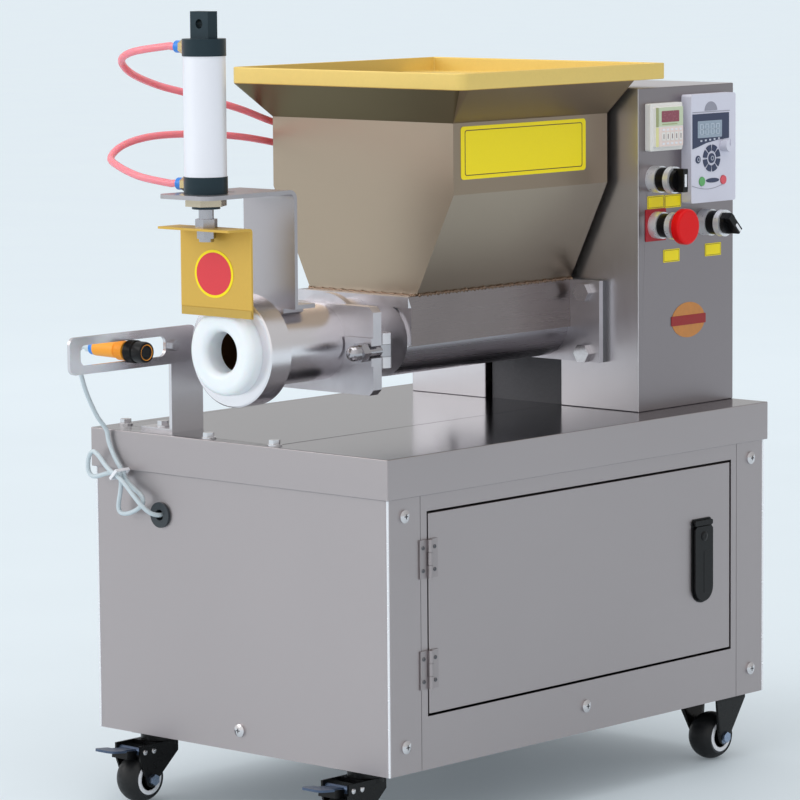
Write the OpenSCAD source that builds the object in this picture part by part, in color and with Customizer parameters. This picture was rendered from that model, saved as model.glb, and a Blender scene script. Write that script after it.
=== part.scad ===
// Table-height dough divider: a cabinet on casters carries a hopper, a twin-screw barrel with a nozzle,
// an air-driven cutter, a length sensor and a control tower.
// Millimetres. +Z is up, -Y is the nozzle end, +X is the door side, the floor is at Z zero.

/* [Cabinet] */
// Width of the top cover, side to side
cover_w = 440; // [420:1:500]
// Length of the top cover, front to rear
cover_l = 645; // [640:1:720]
// Height of the cover's turned-down edge
cover_edge_h = 43; // [30:1:50]
// Distance the cover overhangs the cabinet walls
cover_overhang = 3.6; // [3.2:0.1:6]
// Height of the cabinet from its base to the cover's top
cabinet_h = 334; // [325:1:400]
// Thickness of the sheet metal
sheet_t = 2; // [1.5:0.1:2.5]
// Length of the end panels' folds along the sides
fold_l = 50; // [40:1:56]

/* [Door] */
// Distance from the end panels' folds to the door's ends
door_margin = 12.9; // [6:0.1:30]
// Rise from the cabinet's base to the door's lower edge
door_rise = 59; // [40:1:80]
// Drop from the cover's top to the door's upper edge
door_drop = 63; // [56:1:74]
// Depth of the door's folded edge
door_d = 16; // [12:1:22]
// Gap round the door
door_gap = 2.6; // [1.2:0.1:3]

/* [Casters] */
// Height from the floor to the cabinet's base
caster_h = 76; // [72:1:86]
// Diameter of a wheel
wheel_d = 54; // [48:1:56]
// Width of a wheel
wheel_w = 32; // [26:1:34]
// Distance from the cabinet's side to a front caster's pivot
front_caster_inset = 61.4; // [45:0.1:100]
// Distance from the cabinet's side to a rear caster's middle
rear_caster_inset = 36.4; // [34:0.1:100]
// Distance of a front wheel's axle ahead of its pivot
caster_trail = 30; // [29:1:34]

/* [Tower] */
// Width of the control tower
tower_w = 340; // [330:1:380]
// Depth of the control tower
tower_d = 172; // [168:1:190]
// Height of the control tower
tower_h = 362; // [357:1:366]
// Width of the slot in the tower's front
tower_slot_w = 114; // [108:1:120]

/* [Barrel] */
// Height of the barrel's axis above the cover
axis_h = 98; // [97:1:110]
// Distance between the two screws
screw_gap = 76; // [75.6:0.1:76.6]
// Bore of one screw chamber
chamber_d = 76; // [75.6:0.1:77]
// Wall of the barrel
barrel_wall = 3; // [2.5:0.1:5]
// Length of the barrel
barrel_l = 268; // [250:1:275]
// Length of the neck in front of the barrel
neck_l = 48; // [46:1:60]
// Outer diameter of the neck
neck_d = 86; // [84:1:90]

/* [Hopper] */
// Width of the hopper's foot
hopper_foot_w = 158; // [150:1:164]
// Width of the hopper's neck
hopper_neck_w = 267; // [240:1:276]
// Length of the hopper's body
hopper_l = 259; // [245:1:262]
// Width of the rim
rim_w = 344; // [330:1:360]
// Height of the tapered part
hopper_taper_h = 111; // [100:1:111]
// Height of the straight part above the taper
hopper_neck_h = 77; // [77:1:84]
// Height of the flared part
hopper_flare_h = 37; // [37:1:44]
// Height of the rim band
rim_h = 18; // [12:1:26]

/* [Nozzle] */
// Outer diameter of the nozzle tube
nozzle_tube_d = 84; // [82:1:92]
// Length of the tube between plate and ring
nozzle_tube_l = 102; // [90:1:110]
// Outer diameter of the clamping ring
ring_d = 120; // [116:1:130]
// Length of the clamping ring
ring_l = 32; // [30:1:38]
// Diameter of the nozzle's face
nozzle_d = 93; // [88:1:96]
// Bore of the nozzle
nozzle_bore_d = 44; // [30:1:46]
// Reach of the nozzle beyond the ring
nozzle_reach = 17.5; // [16:0.5:22]

/* [Cutter] */
// Width of the blade
blade_w = 104; // [96:1:120]
// Height of the blade
blade_h = 95.3; // [90:0.1:100]
// Thickness of the blade
blade_t = 2.5; // [2:0.1:3]
// Gap between the blade and the nozzle's face
blade_gap = 0.7; // [0.5:0.1:2]
// Bore of the air cylinder
cylinder_bore = 40; // [38:1:41]
// Length of the air cylinder's tube
cylinder_l = 126; // [120:1:150]
// Diameter of the piston rod
rod_d = 16; // [14:1:18]
// Stroke of the cutter
cutter_stroke = 75; // [60:1:78]

/* [Sensor] */
// Distance of the slotted arm's rear end behind the cover's front edge
arm_inset = 52.5; // [46:0.5:60]
// Height of the slotted arm
arm_h = 40; // [36:1:44]
// Thread diameter of the sensor
sensor_d = 18; // [16:1:20]
// Length of the sensor's body
sensor_l = 92; // [84:1:100]

/* [Controls] */
// Width of the speed drive
drive_w = 81; // [80:1:86]
// Height of the speed drive
drive_h = 122; // [116:1:124]
// Depth of the speed drive in front of the tower
drive_d = 14; // [12:1:24]
// Width of the time relay's frame
relay_w = 57.5; // [54:0.5:60]
// Height of the time relay's frame
relay_h = 53; // [48:1:58]
// Diameter of the stop button's mushroom head
stop_head_d = 40; // [34:1:42]

/* [Hidden] */
$fn = 48;
// Overrun of every cut past the face it opens
over = 1;
// Clearances: between seated pieces, in running fits and between moving faces
seat_gap = 0.2;
run_gap = 0.05;
move_gap = 0.4;

// Cabinet
fold_r = 4;
panel_seam = 0.6;
tray_t = 3;
tray_h = 22;
post_leg = 26;
cabinet_w = cover_w - 2*cover_overhang;
cabinet_l = cover_l - 2*cover_overhang;
side_x = cabinet_w/2;
deck_z = caster_h + cabinet_h;
wall_h = cabinet_h - sheet_t;

// Screws of the panels
panel_screw_head_r = 7;
panel_screw_head_h = 3.8;
panel_screw_r = 2;
panel_screw_l = 9;
panel_screw_inset = 25;
panel_screw_top = 62;
panel_screw_low = 29;
end_screw_low = 23;

// Cable entries in the end panels
grommet_inset = 100.7;
grommet_drop = 88.2;
grommet_flange_r = 14;
grommet_neck_r = 10;
grommet_bore_r = 6;
grommet_flange_t = 3;
gland_inset = 66.4;
gland_rise = 64;

// Door, hinges and latch
strike_reach = 14;
strike_gap = 0.5;
hinge_h = 41;
hinge_inset = 47.35;
hinge_leaf_w = 14;
hinge_leaf_t = 1.5;
knuckle_r = 3;
hinge_pin_r = 1.5;
latch_w = 38;
latch_h = 98;
latch_inset = 52;
latch_plate_t = 2.5;
latch_cheek_w = 3;
latch_cheek_h = 20;
latch_pin_r = 1.6;
latch_barrel_r = 3.2;
latch_pin_drop = 11;
latch_lever_t = 3.5;
latch_margin = 4;
door_l = cabinet_l - 2*fold_l - 2*door_margin;
door_h = cabinet_h - door_drop - door_rise;
hinge_spacing = door_h - 2*hinge_inset;
hinge_x = side_x + knuckle_r + seat_gap;
hinge_y = -door_l/2 - door_gap/2;
door_mid_z = -door_drop - door_h/2;
latch_y = door_l/2 - latch_inset;

// Casters
caster_plate_w = 40;
caster_plate_l = 44;
caster_plate_t = 2.5;
race_r = 20;
race_h = 7;
crown_r = 21;
crown_h = 5;
kingpin_r = 4;
kingpin_head_r = 7;
kingpin_head_h = 3;
cheek_t = 2.5;
cheek_gap = 1.5;
cheek_foot_r = 9;
cheek_nose = 7;
cheek_back = 10;
cheek_side_h = 12;
cheek_reach = 26;
cheek_splay = 10;
axle_r = 4;
axle_nut_af = 11;
axle_nut_h = 5;
tyre_t = 7;
hub_inset = 1;
pedal_pin_r = 2;
pedal_pin_boss_r = 4.2;
pedal_setback = 41;
pedal_l = 46;
pedal_w = 30;
pedal_arm_w = 18;
pedal_t = 2.5;
pedal_tilt = 6;
shoe_reach = 19;
shoe_l = 14;
shoe_w = 24;
shoe_h = 8;
front_caster_setback = 8;
rear_caster_setback = 25;
wheel_r = wheel_d/2;
caster_top_z = caster_h - caster_plate_t;
crown_top_z = caster_top_z - race_h - move_gap;
crown_low_z = crown_top_z - crown_h;
pedal_pin_z = wheel_d + pedal_pin_boss_r + move_gap + run_gap;
tread_arc_r = (wheel_w*wheel_w/4 + tyre_t*tyre_t)/(2*tyre_t);
front_caster_x = side_x - front_caster_inset;
rear_caster_x = side_x - rear_caster_inset;
front_caster_y = -cabinet_l/2 + caster_plate_l/2 + front_caster_setback;
rear_caster_y = cabinet_l/2 - cheek_reach - rear_caster_setback;
cheek_x = wheel_w/2 + cheek_gap;

// Places along the machine, from the rear forward
flange_t = 6.5;
tower_inset = 0.5;
plate_t = 13;
hopper_setback = 12;
rod_offset = 15.8;
sensor_offset = 22.3;
arm_reach = 88.5;
tower_back_y = cover_l/2 - tower_inset;
tower_y = tower_back_y - tower_d;
case_plate_y = tower_y - flange_t;
barrel_back_y = case_plate_y - flange_t;
barrel_front_y = barrel_back_y - barrel_l;
neck_front_y = barrel_front_y - neck_l;
plate_front_y = neck_front_y - plate_t;
ring_back_y = plate_front_y - nozzle_tube_l;
ring_front_y = ring_back_y - ring_l;
nozzle_front_y = ring_front_y - nozzle_reach;
blade_back_y = nozzle_front_y - blade_gap;
cylinder_y = blade_back_y - rod_offset;
sensor_y = blade_back_y - blade_t - sensor_offset;
arm_front_y = sensor_y - arm_reach;

// Barrel
chamber_r = chamber_d/2;
barrel_r = chamber_r + barrel_wall;
screw_x = screw_gap/2;
throat_w = 164;
throat_top = 48;
throat_low = -5.5;
throat_wall = 15;
ledge_h = 12;
ledge_d = 5;
lip_t = 3;
lip_w = 5;
front_wall_t = 6;
flange_w = 248;
flange_low = -44;
flange_bolt_x = 103;
flange_bolt_z = 34.3;
flange_bolt_r = 6;
flange_bolt_af = 19;
flange_bolt_head_h = 7.5;
neck_flange_t = 8;
neck_flange_r = 52;
swing_x = 73;
swing_drop = 7;
swing_pin_r = 4;
swing_pin_setback = 12.5;
swing_eye_r = 9;
swing_eye_h = 13;
lug_t = 12;
lug_l = 21;
lug_round = 9;
shaft_r = 12;
shaft_hole_gap = 1;
screw_end_gap = 3;

// Screws and gears
flight_gap = 0.7;
flight_t = 12;
screw_core_r = 15;
screw_pitch = 50;
screw_steps_per_turn = 14;
gear_teeth = 19;
gear_w = 24;
gear_backlash = 0.5;
gear_pressure_angle = 20;
gear_dedendum_share = 1.25;
gear_tip_gap = 2.5;

// Gear case, bearings and drive
bearing_r = 20;
bearing_w = 10;
seal_r = 18;
seal_w = 5;
case_wall = 4;
case_front_t = 6;
case_nose_gap = 1.5;
case_nose_low = 40;
case_depth = 58;
cavity_depth = 44;
pedestal_w = 104;
pedestal_l = 44;
pedestal_setback = 7;
drive_cover_t = 14;
worm_box_w = 100;
worm_box_l = 78;
worm_box_low = 55;
worm_box_top = 45;
worm_bore_l = 60;
motor_r = 47;
motor_drop = 250;
motor_fan_r = 50;
motor_fan_h = 34;
motor_opening_gap = 4;
gear_r = screw_gap/2;
gear_module = screw_gap/gear_teeth;
cavity_r = gear_r + gear_module + gear_tip_gap;
case_half_h = cavity_r + case_wall;
case_half_w = screw_x + cavity_r + case_wall;
case_y = tower_y + sheet_t + case_nose_gap;
case_back_y = case_y + case_depth;
gear_y = case_back_y - cavity_depth/2;
bearing_front_y = case_back_y - cavity_depth - bearing_w;
drive_back_y = case_back_y + drive_cover_t;
motor_y = drive_back_y + worm_box_l/2;

// Hopper
hopper_t = 2;
rim_t = 2.5;
rim_front = 29;
rim_rear = 54;
rim_r = 12;
rim_lip = 5;
skin = 0.1;
hopper_front_y = barrel_front_y + hopper_setback;
hopper_back_y = hopper_front_y + hopper_l;
hopper_z = axis_h + throat_top;
hopper_bend_z = hopper_z + hopper_taper_h;
hopper_flare_z = hopper_bend_z + hopper_neck_h;
rim_z = hopper_flare_z + hopper_flare_h;
rim_l = hopper_l + rim_front + rim_rear;
rim_mid_y = hopper_front_y - rim_front + rim_l/2;

// Nozzle
plate_w = 164;
plate_low = 54;
plate_top = 41.5;
plate_chamfer = 6;
pad_w = 38.4;
pad_h = 30.6;
pad_t = 3;
swing_slot_w = 13.2;
nozzle_tube_wall = 8;
nozzle_flange_over = 5.5;
nozzle_flange_t = 12;
nozzle_seat_l = 12;
ring_lip_t = 6;
ring_round = 1.5;
nozzle_round = 9;
nozzle_inlet_round = 8;
grub_screw_r = 4;
grub_angle = 38;
nozzle_tube_r = nozzle_tube_d/2;
nozzle_tube_bore_r = nozzle_tube_r - nozzle_tube_wall;
nozzle_r = nozzle_d/2;
nozzle_back_y = ring_back_y - nozzle_seat_l;

// Swing bolts
swing_bolt_r = 6;
swing_nut_af = 19;
swing_nut_h = 10;
swing_nut_gap = 2;
swing_dome_r = 8.5;
swing_dome_base = 16;

// Cutter, cylinder and bracket
bracket_rise = 165;
bracket_w = 75;
bracket_t = 4.5;
bracket_front = 37;
bracket_back = 99;
bracket_r = 12;
bracket_bend_r = 10;
bracket_foot_l = 26;
bracket_saddle_w = 40;
bracket_saddle_drop = 8;
bracket_bolt_setback = 14;
bracket_slot_l = 16;
bracket_slot_w = 6;
bracket_slot_setback = 34;
cap_r = 23.25;
cap_h = 18;
tube_wall = 2.5;
tongue_w = 26;
tongue_t = 14;
tongue_h = 28.5;
tongue_hole_r = 5;
nose_r = 15;
nose_l = 16;
nose_nut_af = 39;
nose_nut_h = 8.5;
piston_h = 14;
piston_top_gap = 2;
rod_end = 15;
rod_nut_af = 21;
rod_nut_h = 9;
lower_nut_af = 18;
blade_drop = 31;
blade_flange_l = 32;
blade_bend_r = 4;
blade_edge_h = 10;
bracket_z = axis_h + bracket_rise;
cap_z = bracket_z + bracket_t;
tube_z = cap_z + cap_h;
upper_cap_z = tube_z + cylinder_l;
blade_top_z = bracket_z - blade_drop;
rod_r = rod_d/2;

// Air fittings and hoses
port_r = 5;
port_depth = 8;
fitting_af = 14;
fitting_hex_l = 8;
fitting_collar_r = 6.5;
fitting_collar_l = 8;
fitting_stand = 0.75;
hose_r = 4;
hose_sides = 10;
hose_x = 152;
hose_upper_z = 292;
hose_lower_z = 262;
inlet_inset = 156.4;
inlet_rise = 64;
inlet_bore_r = 5.5;
inlet_bore_l = 12;
inlet_body_r = 9;

// Sensor, its bracket and cable
arm_x = 108;
arm_t = 4;
arm_low = 76;
arm_r = 8;
arm_slot_h = 22;
arm_slot_front = 15.5;
arm_slot_l = 126;
arm_slot_end = 11;
arm_bolt_setback = 35;
post_l = 48;
post_over = 14;
post_rise = 112;
foot_l = 44;
sensor_rise = 95;
sensor_nut_r = 12.5;
sensor_nut_t = 11;
sensor_head_r = 11.5;
sensor_reach = 25;
cable_r = 2.5;
cable_sides = 6;
loop_rings = 24;
tie_wall = 1.3;
tie_gap = 0.4;
tie_w = 12;
tie_h = 3.5;

// Bolts of the cover and the brackets
cover_bolt_r = 3;
cover_bolt_af = 11;
cover_bolt_head_h = 5;
cover_bolt_l = 8;
washer_r = 8;
washer_t = 1.5;
front_bolt_x = 49;
front_bolt_inset = 11;
side_bolt_inset = 15;
side_bolt_setback = 39;
foot_bolt_share = 0.5;
foot_bolt_spread = 12;

// Controls, set back from the tower's front edge and above the cover
drive_setback = 77;
drive_rise = 230;
drive_r = 3;
relay_setback = 11.5;
relay_rise = 291.5;
relay_d = 12;
relay_step = 4;
relay_r = 2;
selector_left_setback = 27;
selector_left_rise = 260;
selector_right_setback = 118;
selector_right_rise = 206.5;
stop_setback = 30;
stop_rise = 208.5;
key_r = 5;
key_gap = 0.4;
key_pocket = 4;
key_travel = 0.8;
key_proud = 1.2;
run_key_setback = 19;
stop_key_setback = 58;
key_rise = 24;
knob_r = 7;
knob_l = 10;
knob_shaft_r = 3;
knob_shaft_l = 8;
knob_setback = 58;
knob_rise = 63;
knob_line_w = 1.6;
base_spigot_r = 11;
base_spigot_l = 16;
base_flange_r = 15;
base_flange_t = 12;
base_body_r = 13.5;
base_body_l = 12;
base_ring_l = 7;
base_stem_r = 6;
base_stem_l = 14;
stop_travel = 5;
stop_head_l = 11.6;
stop_head_round = 3;
selector_r = 12;
selector_disc_l = 5;
selector_bar_w = 8;
selector_bar_l = 26;
selector_bar_h = 9;
base_l = base_flange_t + base_body_l + base_ring_l;
tower_side_x = tower_w/2;

// Place of the cover's middle, so that the origin lies under the middle of the whole machine
rear_y = max(cover_l/2, cabinet_l/2 + fitting_hex_l + fitting_collar_l);
deck_y = (-arm_front_y - rear_y)/2;

// Routes of the hoses and the cable, from the cover's middle: across, along, above the cover
hose_upper_route = [[-40.1, -360, 420.5], [-48, -360, 420.5], [-56, -360, 420.5], [-102, -364, 414],
  [-129, -355, 404], [-141, -329, 389], [-155, -276, 374], [-151, -227, 362], [-154, -150, 343],
  [-158, -80, 323], [-156, 0, 311], [-154, 80, 298], [-152, 118, 292], [-152, 126, 292], [-152, 133.9, 292]];
hose_lower_route = [[-40.1, -360, 276.5], [-48, -360, 276.5], [-56, -360, 276.5], [-96, -363, 282],
  [-134, -357, 291], [-159, -344, 299], [-167, -316, 311], [-168, -272, 318], [-162, -215, 318],
  [-160, -145, 312], [-160, -75, 300], [-158, 0, 284], [-155, 80, 270], [-152, 118, 262], [-152, 126, 262],
  [-152, 133.9, 262]];
cable_start_route = [[-175.1, -369, 95], [-179, -369, 95], [-183, -369, 95], [-191, -367, 88],
  [-196, -360, 68], [-197, -350, 42], [-194, -338, 16], [-190, -328, 0], [-187, -327, -14], [-178, -327, -30],
  [-165, -327, -46]];
cable_end_route = [[-165, -339, -46], [-152, -338.5, -55], [-140, -338, -66], [-129, -336, -77],
  [-121, -331, -85], [-116.5, -324, -88], [-115.7, -316, -88.2], [-115.7, -308, -88.2]];
tie_point = [-165, -333, -46];
strand_step = 6;
low_loop_l = 44;
low_loop_w = 38;
low_loop_angle = -67;
left_loop_l = 47;
left_loop_w = 28;
left_loop_angle = 168;
loop_width_share = 0.65;

// Frames of reference
module on_floor() {
  translate([0, deck_y, 0]) children();
}

module on_deck() {
  translate([0, deck_y, deck_z]) children();
}

module on_axis() {
  translate([0, deck_y, deck_z + axis_h]) children();
}

// Draws a flat shape upright and extrudes it forward from the given place
module forward_from(y) {
  translate([0, y, 0]) rotate([90, 0, 0]) children();
}

// Draws a flat shape on a plane that faces +X, with its X along Y and its Y upward
module outward_from(x) {
  translate([x, 0, 0]) rotate([90, 0, 90]) children();
}

module on_tower(setback, rise) {
  on_deck() translate([0, tower_y + setback, rise]) outward_from(tower_side_x) children();
}

// Flat shapes
module rounded_rect(w, l, r) {
  square([w - 2*r, l], center = true);
  square([w, l - 2*r], center = true);
  for (side = [-1, 1], end = [-1, 1])
    translate([side*(w/2 - r), end*(l/2 - r)]) circle(r);
}

module stadium(reach, r) {
  square([2*reach, 2*r], center = true);
  for (side = [-1, 1])
    translate([side*reach, 0]) circle(r);
}

module ring_solid(outer_r, inner_r, h) {
  difference() {
    cylinder(h = h, r = outer_r);
    translate([0, 0, -over]) cylinder(h = h + 2*over, r = inner_r);
  }
}

module hex_prism(across_flats, h) {
  cylinder(h = h, r = across_flats/2/cos(30), $fn = 6);
}

module hex_nut(across_flats, bore_r, h) {
  difference() {
    hex_prism(across_flats, h);
    translate([0, 0, -over]) cylinder(h = h + 2*over, r = bore_r);
  }
}

module hex_bolt(across_flats, head_h, r, l) {
  hex_prism(across_flats, head_h);
  translate([0, 0, -l]) cylinder(h = l + head_h/2, r = r);
}

// Smooth route through hand-chosen points, and the tube that follows it
function blend_point(a, b, c, d, t) =
  (2*b + (c - a)*t + (2*a - 5*b + 4*c - d)*t*t + (3*b - a - 3*c + d)*t*t*t)/2;

function smooth_route(p, steps) = concat(
  [for (i = [0 : len(p) - 2], k = [0 : steps - 1])
    blend_point(p[max(i - 1, 0)], p[i], p[i + 1], p[min(i + 2, len(p) - 1)], k/steps)],
  [p[len(p) - 1]]);

function unit(v) = v/norm(v);

function tangents(p) =
  [for (i = [0 : len(p) - 1]) unit(p[min(i + 1, len(p) - 1)] - p[max(i - 1, 0)])];

function turned(n, t) = unit(n - t*(n*t));

function side_vectors(t) = [for (
  i = 0, n = turned(abs(t[0][2]) < abs(t[0][0]) ? [0, 0, 1] : [1, 0, 0], t[0]);
  i < len(t);
  n = turned(n, t[min(i + 1, len(t) - 1)]), i = i + 1) n];

function tube_points(p, r, sides, t, n) = [for (i = [0 : len(p) - 1], k = [0 : sides - 1])
  p[i] + r*(cos(360*k/sides)*n[i] + sin(360*k/sides)*cross(t[i], n[i]))];

function tube_faces(rings, sides) = concat(
  [for (i = [0 : rings - 2], k = [0 : sides - 1])
    [i*sides + k, (i + 1)*sides + (k + 1)%sides, i*sides + (k + 1)%sides]],
  [for (i = [0 : rings - 2], k = [0 : sides - 1])
    [i*sides + k, (i + 1)*sides + k, (i + 1)*sides + (k + 1)%sides]],
  [for (k = [1 : sides - 2]) [0, k, k + 1]],
  [for (k = [1 : sides - 2]) [0, k + 1, k] + (rings - 1)*sides*[1, 1, 1]]);

module tube_along(p, r, sides) {
  t = tangents(p);
  polyhedron(tube_points(p, r, sides, t, side_vectors(t)), tube_faces(len(p), sides));
}

// A tied loop that leaves the tie, swells and comes back to it, one strand further out
function tied_loop(start, l, w, angle) = [for (i = [1 : loop_rings])
  let (s = i/loop_rings,
    along = l*sin(180*s),
    aside = w*loop_width_share*sin(360*s)*sin(180*s))
  start + [along*cos(angle) - aside*sin(angle), -strand_step*s,
    along*sin(angle) + aside*cos(angle)]];

low_loop_start = tie_point + [0, strand_step, 0];
low_loop = tied_loop(low_loop_start, low_loop_l, low_loop_w, low_loop_angle);
left_loop = tied_loop(tie_point, left_loop_l, left_loop_w, left_loop_angle);
cable_start = smooth_route(cable_start_route, 2);
cable_end = smooth_route(cable_end_route, 2);
cable_route = concat(cable_start, low_loop, left_loop, [for (i = [1 : len(cable_end) - 1]) cable_end[i]]);

// Least gap of the cable to itself, between points that are not neighbours along it
function run_length(p, i, j) = i >= j ? 0 : norm(p[i + 1] - p[i]) + run_length(p, i + 1, j);
cable_gaps = [for (i = [0 : len(cable_route) - 2], j = [i + 1 : len(cable_route) - 1])
  if (run_length(cable_route, i, j) > 8*cable_r)
    norm(cable_route[i] - cable_route[j]) - 2*cable_r];
echo(cable_self_gap = min(cable_gaps));

// Cabinet
module cabinet_wall() {
  difference() {
    rounded_rect(cabinet_w, cabinet_l, fold_r);
    square([cabinet_w - 2*sheet_t, cabinet_l - 2*sheet_t], center = true);
  }
}

// Places of the panel screws, each with its axis outward
module at_side_screws(side) {
  for (end = [-1, 1], z = [-panel_screw_top, -cabinet_h + panel_screw_low])
    translate([side*side_x, end*(cabinet_l/2 - panel_screw_inset), z])
      rotate([0, side*90, 0]) children();
  translate([side*side_x, 0, -cabinet_h + panel_screw_low]) rotate([0, side*90, 0]) children();
}

module at_end_screws() {
  for (end = [-1, 1])
    translate([0, end*cabinet_l/2, -cabinet_h + end_screw_low])
      rotate([-end*90, 0, 0]) children();
}

module panel_screw_holes() {
  for (side = [-1, 1])
    at_side_screws(side) screw_hole();
  at_end_screws() screw_hole();
}

module screw_hole() {
  translate([0, 0, -panel_screw_l - over])
    cylinder(h = panel_screw_l + 2*over, r = panel_screw_r + seat_gap);
}

module panel_screw() {
  rotate_extrude() intersection() {
    translate([0, panel_screw_head_h - panel_screw_head_r*2])
      circle(panel_screw_head_r*2);
    square([panel_screw_head_r, panel_screw_head_h]);
  }
  translate([0, 0, -panel_screw_l]) cylinder(h = panel_screw_l + panel_screw_head_h/2, r = panel_screw_r);
}

module base_tray() {
  tray_w = cabinet_w - 2*sheet_t - 2*seat_gap;
  tray_l = cabinet_l - 2*sheet_t - 2*seat_gap;
  color("gray") on_deck() difference() {
    union() {
      translate([-tray_w/2, -tray_l/2, -cabinet_h]) difference() {
        cube([tray_w, tray_l, tray_h]);
        translate([sheet_t, sheet_t, tray_t])
          cube([tray_w - 2*sheet_t, tray_l - 2*sheet_t, tray_h]);
      }
      for (side = [-1, 1], end = [-1, 1])
        translate([side*tray_w/2, end*tray_l/2, -cabinet_h]) scale([-side, -end, 1])
          corner_post();
    }
    panel_screw_holes();
  }
}

module corner_post() {
  cube([post_leg, sheet_t, wall_h]);
  cube([sheet_t, post_leg, wall_h]);
}

module end_panel(end) {
  on_deck() difference() {
    translate([0, 0, -cabinet_h]) linear_extrude(wall_h) intersection() {
      cabinet_wall();
      translate([0, end*(cabinet_l - fold_l)/2])
        square([cabinet_w + over, fold_l], center = true);
    }
    panel_screw_holes();
    if (end < 0)
      at_grommet() grommet_hole();
    else {
      at_gland() grommet_hole();
      at_inlet() cylinder(h = 2*sheet_t, r = inlet_body_r + seat_gap, center = true);
    }
  }
}

module grommet_hole() {
  cylinder(h = 4*sheet_t, r = grommet_neck_r + seat_gap, center = true);
}

module at_grommet() {
  translate([-side_x + grommet_inset, -cabinet_l/2, -grommet_drop]) rotate([90, 0, 0]) children();
}

module at_gland() {
  translate([side_x - gland_inset, cabinet_l/2, gland_rise - cabinet_h]) rotate([-90, 0, 0]) children();
}

module at_inlet() {
  translate([-side_x + inlet_inset, cabinet_l/2, inlet_rise - cabinet_h]) rotate([-90, 0, 0]) children();
}

module front_panel() {
  color("lightgray") end_panel(-1);
}

module rear_panel() {
  color("lightgray") end_panel(1);
}

module side_sheet(side) {
  sheet_l = cabinet_l - 2*fold_l - 2*panel_seam;
  translate([side*(side_x - sheet_t/2), 0, -cabinet_h + wall_h/2])
    cube([sheet_t, sheet_l, wall_h], center = true);
}

module right_panel() {
  back_x = side_x - door_d - strike_gap - sheet_t;
  edge_y = door_l/2 + door_gap;
  color("silver") on_deck() difference() {
    union() {
      difference() {
        side_sheet(1);
        translate([side_x, 0, door_mid_z])
          cube([4*sheet_t, door_l + 2*door_gap, door_h + 2*door_gap], center = true);
      }
      // Strike that stops the door's free edge
      translate([back_x, edge_y, door_mid_z - door_h/2])
        cube([side_x - sheet_t/2 - back_x, sheet_t, door_h]);
      translate([back_x, edge_y - strike_reach, door_mid_z - door_h/2])
        cube([sheet_t, strike_reach + sheet_t/2, door_h]);
    }
    panel_screw_holes();
  }
}

module left_panel() {
  color("silver") on_deck() difference() {
    side_sheet(-1);
    panel_screw_holes();
  }
}

module top_cover() {
  color("silver") on_deck() difference() {
    translate([-cover_w/2, -cover_l/2, -cover_edge_h]) cube([cover_w, cover_l, cover_edge_h]);
    translate([-cover_w/2 + sheet_t, -cover_l/2 + sheet_t, -cover_edge_h - over])
      cube([cover_w - 2*sheet_t, cover_l - 2*sheet_t, cover_edge_h + over - sheet_t]);
    translate([screw_x, motor_y, -cover_edge_h])
      cylinder(h = cover_edge_h + over, r = motor_r + motor_opening_gap);
    at_cover_bolts() translate([0, 0, -cover_bolt_l])
      cylinder(h = cover_bolt_l + over, r = cover_bolt_r + seat_gap);
    at_foot_bolts() translate([0, 0, -cover_bolt_l])
      cylinder(h = cover_bolt_l + over, r = cover_bolt_r + seat_gap);
  }
}

module panel_screws() {
  color("gainsboro") on_deck() {
    at_side_screws(1) panel_screw();
    at_side_screws(-1) panel_screw();
    at_end_screws() panel_screw();
  }
}

module grommet() {
  difference() {
    union() {
      cylinder(h = grommet_flange_t, r = grommet_flange_r);
      translate([0, 0, -sheet_t - grommet_flange_t]) cylinder(h = grommet_flange_t, r = grommet_flange_r);
      translate([0, 0, -sheet_t - over]) cylinder(h = sheet_t + 2*over, r = grommet_neck_r);
    }
    cylinder(h = 6*grommet_flange_t, r = grommet_bore_r, center = true);
  }
}

module cable_grommets() {
  color("dimgray") on_deck() {
    at_grommet() grommet();
    at_gland() grommet();
  }
}

// Door, hinges and latch
module door() {
  color("silver") on_deck() translate([side_x - door_d, -door_l/2, door_mid_z - door_h/2]) difference() {
    cube([door_d, door_l, door_h]);
    translate([-over, sheet_t, sheet_t])
      cube([door_d + over - sheet_t, door_l - 2*sheet_t, door_h - 2*sheet_t]);
  }
}

// Hinge places: pivot axis upward, local X outward, door on local +Y
module at_hinges() {
  for (end = [-1, 1])
    on_deck() translate([hinge_x, hinge_y, door_mid_z + end*hinge_spacing/2 - hinge_h/2])
      children();
}

// One leaf with knuckles at the given thirds of its height
module hinge_leaf(toward, thirds) {
  third = hinge_h/3;
  leaf_start = knuckle_r + move_gap;
  leaf_x = -knuckle_r;
  translate([leaf_x, toward > 0 ? leaf_start : -hinge_leaf_w, 0])
    cube([hinge_leaf_t, hinge_leaf_w - leaf_start, hinge_h]);
  for (k = thirds)
    translate([0, 0, k*third + move_gap/2]) {
      cylinder(h = third - move_gap, r = knuckle_r);
      translate([leaf_x, toward > 0 ? 0 : -leaf_start - over, 0])
        cube([hinge_leaf_t, leaf_start + over, third - move_gap]);
    }
}

module hinge_frame_leaves() {
  color("gainsboro") at_hinges() {
    hinge_leaf(-1, [0, 2]);
    cylinder(h = hinge_h, r = hinge_pin_r);
  }
}

module hinge_door_leaves() {
  color("gainsboro") at_hinges() difference() {
    hinge_leaf(1, [1]);
    translate([0, 0, -over]) cylinder(h = hinge_h + 2*over, r = hinge_pin_r + run_gap);
  }
}

// Latch, drawn on the door's face with its middle at the origin
module on_latch() {
  on_deck() translate([0, latch_y, door_mid_z]) outward_from(side_x) children();
}

module latch_outline(margin) {
  w = latch_w - 2*margin;
  translate([-w/2, -latch_h/2 + latch_w/2]) square([w, latch_h - latch_w/2 - margin]);
  translate([0, -latch_h/2 + latch_w/2]) circle(w/2);
}

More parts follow.
